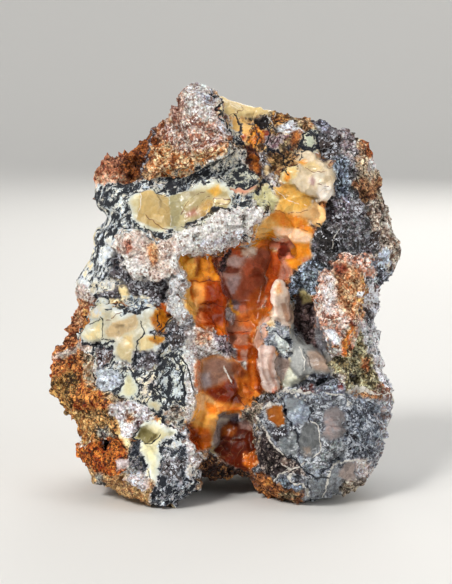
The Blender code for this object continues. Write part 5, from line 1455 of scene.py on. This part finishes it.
moss = {
    "bend": (0.6, 3.0, 0.6),
    "bendBy": 1.9,
    "lean": (.5, 0, .86),                  # the way that its threads run
    "stretch": -.42,
    "branch": (0.62, 8.0, 0.72),
    "thread": (1.1, 3.0, 0.6),
    "patch": (0.17, 2.0, 0.5),
    "patchBy": 0.35,
    "level": (-0.40, 0.78),                # how high the branch noise has to be, by ink
    "blotEdge": (0.008, 0.010),            # below and above that level
    "haloReach": 0.07,
    "threadReach": 0.05,
    "threadWidth": (0.030, -0.002),
    "haloBy": (0.1, 0.6, 0.0, 0.45),
    "ink": (.006, .007, .012),
    "halo": (.34, .41, .50),
    "cover": 0.97,
}


def makeMoss():
    # grows black moss: blots where a bent noise is high, threads where a second one crosses its middle
    group, given, out = newGroup("mossInk", ("Colour", "Ink", "Side", "Reach"), ("Colour", "Mask"))
    place = millimetres(group)
    bend = noiseAt(place, *moss["bend"])["Color"]
    moved = vectors("MULTIPLY_ADD", bend, (moss["bendBy"],) * 3, place)
    along = scaled(moss["lean"], dotProduct(moved, moss["lean"]) * moss["stretch"])
    moved = vectors("ADD", moved, along)
    blot = noiseAt(moved, *moss["branch"])["Fac"]
    thread = noiseAt(moved, *moss["thread"])["Fac"]
    patch = noiseAt(place, *moss["patch"])["Fac"]
    level = scaledSum(given["Ink"], *moss["level"]) + around(patch, moss["patchBy"])
    blots = gentle(blot, level - moss["blotEdge"][0], level + moss["blotEdge"][1])
    halo = gentle(blot, level - moss["haloReach"], level) * gentle(given["Ink"], *moss["haloBy"])
    width = scaledSum(given["Ink"], *moss["threadWidth"])
    threads = reckon("LESS_THAN", reckon("ABSOLUTE", thread - 0.5), width)
    threads = threads * reckon("GREATER_THAN", blot, level - moss["threadReach"])
    drawn = drawnLine(given, blot, line["mossSwing"], line["mossEdge"])
    mask = reckon("MAXIMUM", reckon("MAXIMUM", blots, threads), drawn)
    colour = mixColour(halo, given["Colour"], (*moss["halo"], 1))
    colour = mixColour(mask * moss["cover"], colour, (*moss["ink"], 1))
    send(out, Colour=colour, Mask=mask)
    return group


def makeVein():
    # a narrow wandering line of one colour
    group, given, out = newGroup("veinLine", ("Colour", "Line", "Side", "Reach", "Strength"),
                                 ("Colour", "Mask"))
    wave = noiseAt(millimetres(group), *line["veinWave"])["Fac"]
    drawn = drawnLine(given, wave, line["veinSwing"], line["veinEdge"]) * given["Strength"]
    send(out, Colour=mixColour(drawn, given["Colour"], given["Line"]), Mask=drawn)
    return group


veil = {
    "hanging": (0.7, 0.7, 0.3),
    "cloud": (0.16, 3.0, 0.5),
    "streak": (1.0, 5.0, 0.6),
    "ripple": (0.32, 2.0, 0.4),
    "ripples": 60.0,
    "rippleHeight": 0.12,
    "streakHeight": 0.8,
}


def makeVeil():
    # slow clouds and hanging streaks inside clear opal, and the ripples of its broken faces
    group, given, out = newGroup("opalVeil", ("Colour", "Cloud", "Streak"), ("Colour", "Height"))
    place = millimetres(group)
    hanging = vectors("MULTIPLY", place, veil["hanging"])
    cloud = noiseAt(place, *veil["cloud"])["Fac"]
    streak = noiseAt(hanging, *veil["streak"])["Fac"]
    ripple = noiseAt(place, *veil["ripple"])["Fac"]
    bright = around(cloud, 1.0) * given["Cloud"] + around(streak, 1.0) * given["Streak"]
    colour = scaled(given["Colour"], bright + 1.0)
    wave = reckon("SINE", ripple * veil["ripples"])
    height = wave * veil["rippleHeight"] + streak * veil["streakHeight"]
    send(out, Colour=colour, Height=height)
    return group


chipping = {
    "broad": (0.16, 2.0, 0.5),
    "broadBy": (14.0, 14.0, 9.0),
    "fine": (0.7, 3.0, 0.6),
    "fineBy": (1.2, 1.2, 1.2),
    "rim": 0.045,
}


def makeChips():
    # small broken facets for the bump, with their edges as lines of painted highlight
    group, given, out = newGroup("chippedFaces", ("Size",), ("Height", "Edge", "Tone"))
    place = millimetres(group)
    broad = noiseAt(place, *chipping["broad"])["Color"]
    fine = noiseAt(place, *chipping["fine"])["Color"]
    moved = vectors("MULTIPLY_ADD", broad, chipping["broadBy"], place)
    moved = vectors("MULTIPLY_ADD", fine, chipping["fineBy"], moved)
    scale = reckon("DIVIDE", 1.0, given["Size"])
    cell = cellsAt(moved, scale)
    rims = cellsAt(moved, scale, "DISTANCE_TO_EDGE")
    away = vectors("SUBTRACT", moved, cell["Position"])
    lean = vectors("SUBTRACT", cell["Color"], (0.5, 0.5, 0.5))
    slope = dotProduct(away, lean)
    # a line of painted highlight along the facets' edges
    edge = gentle(rims["Distance"], 0.0, chipping["rim"], 1.0, 0.0)
    send(out, Height=slope, Edge=edge, Tone=parts(cell["Color"])[1])
    return group


groups = {"chip": makeChips(), "grain": makeGrain(), "moss": makeMoss(), "vein": makeVein(),
          "veil": makeVeil()}

# What each kind of mineral does with light. gleam is the clear coat, glow the light that
# travels under the surface and glowReach how far, in millimetres, for red, green and blue.
# edge is how much painted highlight runs along the facets' edges, in the colour given after it.
minerals = {
    "rock": dict(gleam=.05, glow=.0, glowReach=(.5, .4, .3), dull=.95, shine=.25, bump=.9, cloud=.2,
                 streak=.1, chip=1.6, chipDepth=1.0, facetTone=.12, edge=.08, edgeHighlightColour=(.72, .74, .76)),
    "opal": dict(gleam=.30, glow=.10, glowReach=(1.2, 1.0, .7), dull=.86, shine=.20, bump=.5, cloud=.45,
                 streak=.2, chip=5.5, chipDepth=.6, facetTone=.25, edge=.12, edgeHighlightColour=(.90, .86, .70)),
    "fire": dict(gleam=.22, glow=.12, glowReach=(1.3, .9, .5), dull=.84, shine=.10, bump=.5, cloud=1.1,
                 streak=.6, chip=5.0, chipDepth=.6, facetTone=.4, edge=.07, edgeHighlightColour=(.86, .50, .20)),
    "glass": dict(gleam=.35, glow=.16, glowReach=(1.4, 1.4, 1.4), dull=.78, shine=.40, bump=.5, cloud=.8,
                  streak=.3, chip=4.0, chipDepth=.8, facetTone=.5, edge=.12, edgeHighlightColour=(.60, .61, .62)),
}
everyMineral = {
    "veins": {"pale": (.90, .88, .84), "rust": (.36, .13, .06)},
    "veinStrength": 0.85,
    "roughest": 0.98,
    "glintBy": 0.25,
    "mossRoughness": 0.12,
    "leastRoughness": 0.08,
    "grainBump": 2.2,
    "leastGrit": 0.03,
    "veilBump": 0.12,
    "mossBump": -0.12,
    "veinBump": 0.35,
    "bumpHeight": 0.5,
    "coatFrom": (0.2, 0.9),      # gloss where the coat starts and where it is whole
    "coatRoughness": 0.07,
    "ior": 1.45,
}


def placeGroup(tree, name, **inputs):
    return flowsOf(addNode(tree, "ShaderNodeGroup", inputs, node_tree=groups[name]))


def mineralMaterial(kind, look):
    material = bpy.data.materials.new(kind + "Mineral")
    material.use_nodes = True
    tree = material.node_tree
    shader = tree.nodes["Principled BSDF"]
    read = {}
    for name in colourNames:
        read[name] = flowsOf(addNode(tree, "ShaderNodeAttribute", attribute_name=name))["Color"]
    lineNames = [name + end for name in faceStrokes for end in ("Side", "Reach")]
    for name in (*amountNames[:-1], *lineNames):
        read[name] = flowsOf(addNode(tree, "ShaderNodeAttribute", attribute_name=name))["Fac"]
    grains = placeGroup(tree, "grain", Tint=read["tint"], Mate=read["mate"], Fleck=read["fleck"],
                        Pepper=read["pepper"], Soft=read["soft"])
    clouds = placeGroup(tree, "veil", Cloud=look["cloud"], Streak=look["streak"], Colour=grains["Colour"])
    facets = placeGroup(tree, "chip", Size=look["chip"])
    tone = around(facets["Tone"], look["facetTone"]) + 1.0
    # painted highlight along the facets' edges
    colour = mixColour(facets["Edge"] * look["edge"], scaled(clouds["Colour"], tone),
                       (*look["edgeHighlightColour"], 1))
    veins = {}
    for name, tint in everyMineral["veins"].items():
        veins[name] = placeGroup(tree, "vein", Line=(*linearColour(np.array(tint)), 1),
                                 Strength=everyMineral["veinStrength"], Colour=colour,
                                 Side=read[name + "Side"], Reach=read[name + "Reach"])
        colour = veins[name]["Colour"]
    mossy = placeGroup(tree, "moss", Colour=colour, Ink=read["ink"], Side=read["inkSide"],
                       Reach=read["inkReach"])
    connect(mossy["Colour"], shader.inputs["Base Color"])
    rough = scaledSum(read["gloss"], -look["dull"], everyMineral["roughest"])
    rough = rough + around(grains["Glint"], everyMineral["glintBy"])
    rough = reckon("ADD", rough, mossy["Mask"] * everyMineral["mossRoughness"], clamp=True)
    rough = gentle(rough, 0.0, 1.0, everyMineral["leastRoughness"], 1.0)
    connect(rough, shader.inputs["Roughness"])
    high = grains["Height"] * (read["grit"] + everyMineral["leastGrit"]) * everyMineral["grainBump"]
    high = high + clouds["Height"] * everyMineral["veilBump"]
    high = high + facets["Height"] * look["chipDepth"]
    high = high + mossy["Mask"] * everyMineral["mossBump"]
    high = high + veins["pale"]["Mask"] * everyMineral["veinBump"]
    bump = addNode(tree, "ShaderNodeBump", {"Height": high, "Strength": look["bump"],
                                            "Distance": everyMineral["bumpHeight"] * mm})
    connect(flowsOf(bump)["Normal"], shader.inputs["Normal"])
    gleam = gentle(read["gloss"], *everyMineral["coatFrom"], 0.0, look["gleam"])
    connect(gleam, shader.inputs["Coat Weight"])
    shader.inputs["Coat Roughness"].default_value = everyMineral["coatRoughness"]
    shader.inputs["Specular IOR Level"].default_value = look["shine"]
    shader.inputs["Subsurface Weight"].default_value = look["glow"]
    shader.inputs["Subsurface Radius"].default_value = look["glowReach"]
    shader.inputs["Subsurface Scale"].default_value = mm
    shader.inputs["IOR"].default_value = everyMineral["ior"]
    return material


for kind in kinds:
    stone.data.materials.append(mineralMaterial(kind, minerals[kind]))
faceCorners = np.zeros(len(stone.data.polygons) * 3, np.int32)
stone.data.polygons.foreach_get("vertices", faceCorners)
faceKinds = np.sort(kindOf[faceCorners.reshape(-1, 3)], axis=1)[:, 1]    # the kind of most of its points
stone.data.polygons.foreach_set("material_index", faceKinds.astype(np.int32))
stone.data.polygons.foreach_set("use_smooth", faceKinds > 0)
stone.data.update()
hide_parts("opal_rough")
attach(stone, "root")
print("stone: minerals set")

# Floor, light and camera, in metres and watts
studio = {
    "floorRadius": 1.1,
    "floorBend": 1.0,
    "floorRise": 0.1,
    "floorSides": 64,
    "floorSteps": 12,
    "floorColour": (.88, .87, .85),
    "floorRoughness": 0.75,
    "skyColour": (.93, .95, .98),
    "skyStrength": 0.27,
    "sunPlace": (-0.5, -0.75, 0.8),
    "sunStrength": 1.2,
    "sunSpread": 14.0,     # degrees
    "lights": [
        # name, place, width, height, watts, warmth
        ("key", (-0.50, -0.62, 0.62), 0.42, 0.30, 4.7, (1.0, .98, .95)),
        ("fill", (0.70, -0.55, 0.30), 0.55, 0.45, 2.5, (.95, .97, 1.0)),
        ("top", (0.05, 0.20, 0.85), 0.60, 0.40, 1.8, (1.0, 1.0, 1.0)),
        ("behind", (0.25, 0.80, 0.45), 0.60, 0.45, 2.6, (1.0, .99, .97)),
    ],
}


def makeFloor():
    # flat round the stone, then swept up all round as a studio floor is
    bend = studio["floorBend"]
    sides = studio["floorSides"]
    profile = [(studio["floorRadius"], 0.0)]
    for step in range(1, studio["floorSteps"] + 1):
        turn = math.radians(90.0 / studio["floorSteps"] * step)
        profile.append((profile[0][0] + bend * math.sin(turn), bend * (1.0 - math.cos(turn))))
    profile.append((profile[0][0] + bend, bend + studio["floorRise"]))
    places = [(0.0, 0.0, 0.0)]
    for reach, height in profile:
        for step in range(sides):
            turn = 2 * math.pi * step / sides
            places.append((reach * math.cos(turn), reach * math.sin(turn), height))
    faces = [(0, 1 + step, 1 + (step + 1) % sides) for step in range(sides)]
    for ring in range(len(profile) - 1):
        low = 1 + ring * sides
        for step in range(sides):
            after = (step + 1) % sides
            faces.append((low + step, low + sides + step, low + sides + after, low + after))
    mesh = bpy.data.meshes.new("pale_floor")
    mesh.from_pydata(places, [], faces)
    mesh.polygons.foreach_set("use_smooth", [True] * len(faces))
    material = bpy.data.materials.new("paleFloor")
    material.use_nodes = True
    shader = material.node_tree.nodes["Principled BSDF"]
    shader.inputs["Base Color"].default_value = (*linearColour(np.array(studio["floorColour"])), 1)
    shader.inputs["Roughness"].default_value = studio["floorRoughness"]
    mesh.materials.append(material)
    floor = addObject("pale_floor", mesh)


def makeLights():
    world = bpy.data.worlds.new("studio")
    world.use_nodes = True
    sky = world.node_tree.nodes["Background"]
    sky.inputs["Color"].default_value = (*linearColour(np.array(studio["skyColour"])), 1)
    sky.inputs["Strength"].default_value = studio["skyStrength"]
    bpy.context.scene.world = world
    middle = Vector(faceView["middle"]) * mm
    for name, place, width, height, watts, warmth in studio["lights"]:
        lamp = bpy.data.lights.new(name, "AREA")
        lamp.shape = "RECTANGLE"
        lamp.size = width
        lamp.size_y = height
        lamp.energy = watts
        lamp.color = warmth
        piece = addObject(name, lamp)
        piece.location = place
        piece.rotation_euler = (middle - Vector(place)).to_track_quat("-Z", "Y").to_euler()
    sun = bpy.data.lights.new("window", "SUN")
    sun.energy = studio["sunStrength"]
    sun.angle = math.radians(studio["sunSpread"])
    addObject("window", sun).rotation_euler = Vector(studio["sunPlace"]).to_track_quat("Z", "Y").to_euler()


def makeCamera():
    aim = Vector(faceView["middle"]) + Vector((faceView["aimAcross"], 0, 0))
    lens = bpy.data.cameras.new("camera")
    lens.sensor_width = faceView["sensor"]
    lens.lens = faceView["sensor"] * faceView["distance"] / faceView["tallSide"]
    lens.clip_start = 0.01
    camera = addObject("camera", lens)
    camera.location = (aim + Vector(eyeWay) * faceView["distance"]) * mm
    camera.rotation_euler = (-Vector(eyeWay)).to_track_quat("-Z", "Y").to_euler()
    bpy.context.scene.camera = camera


makeFloor()
makeLights()
makeCamera()
bpy.context.scene.view_settings.view_transform = "Standard"
print("stone: ready to render")
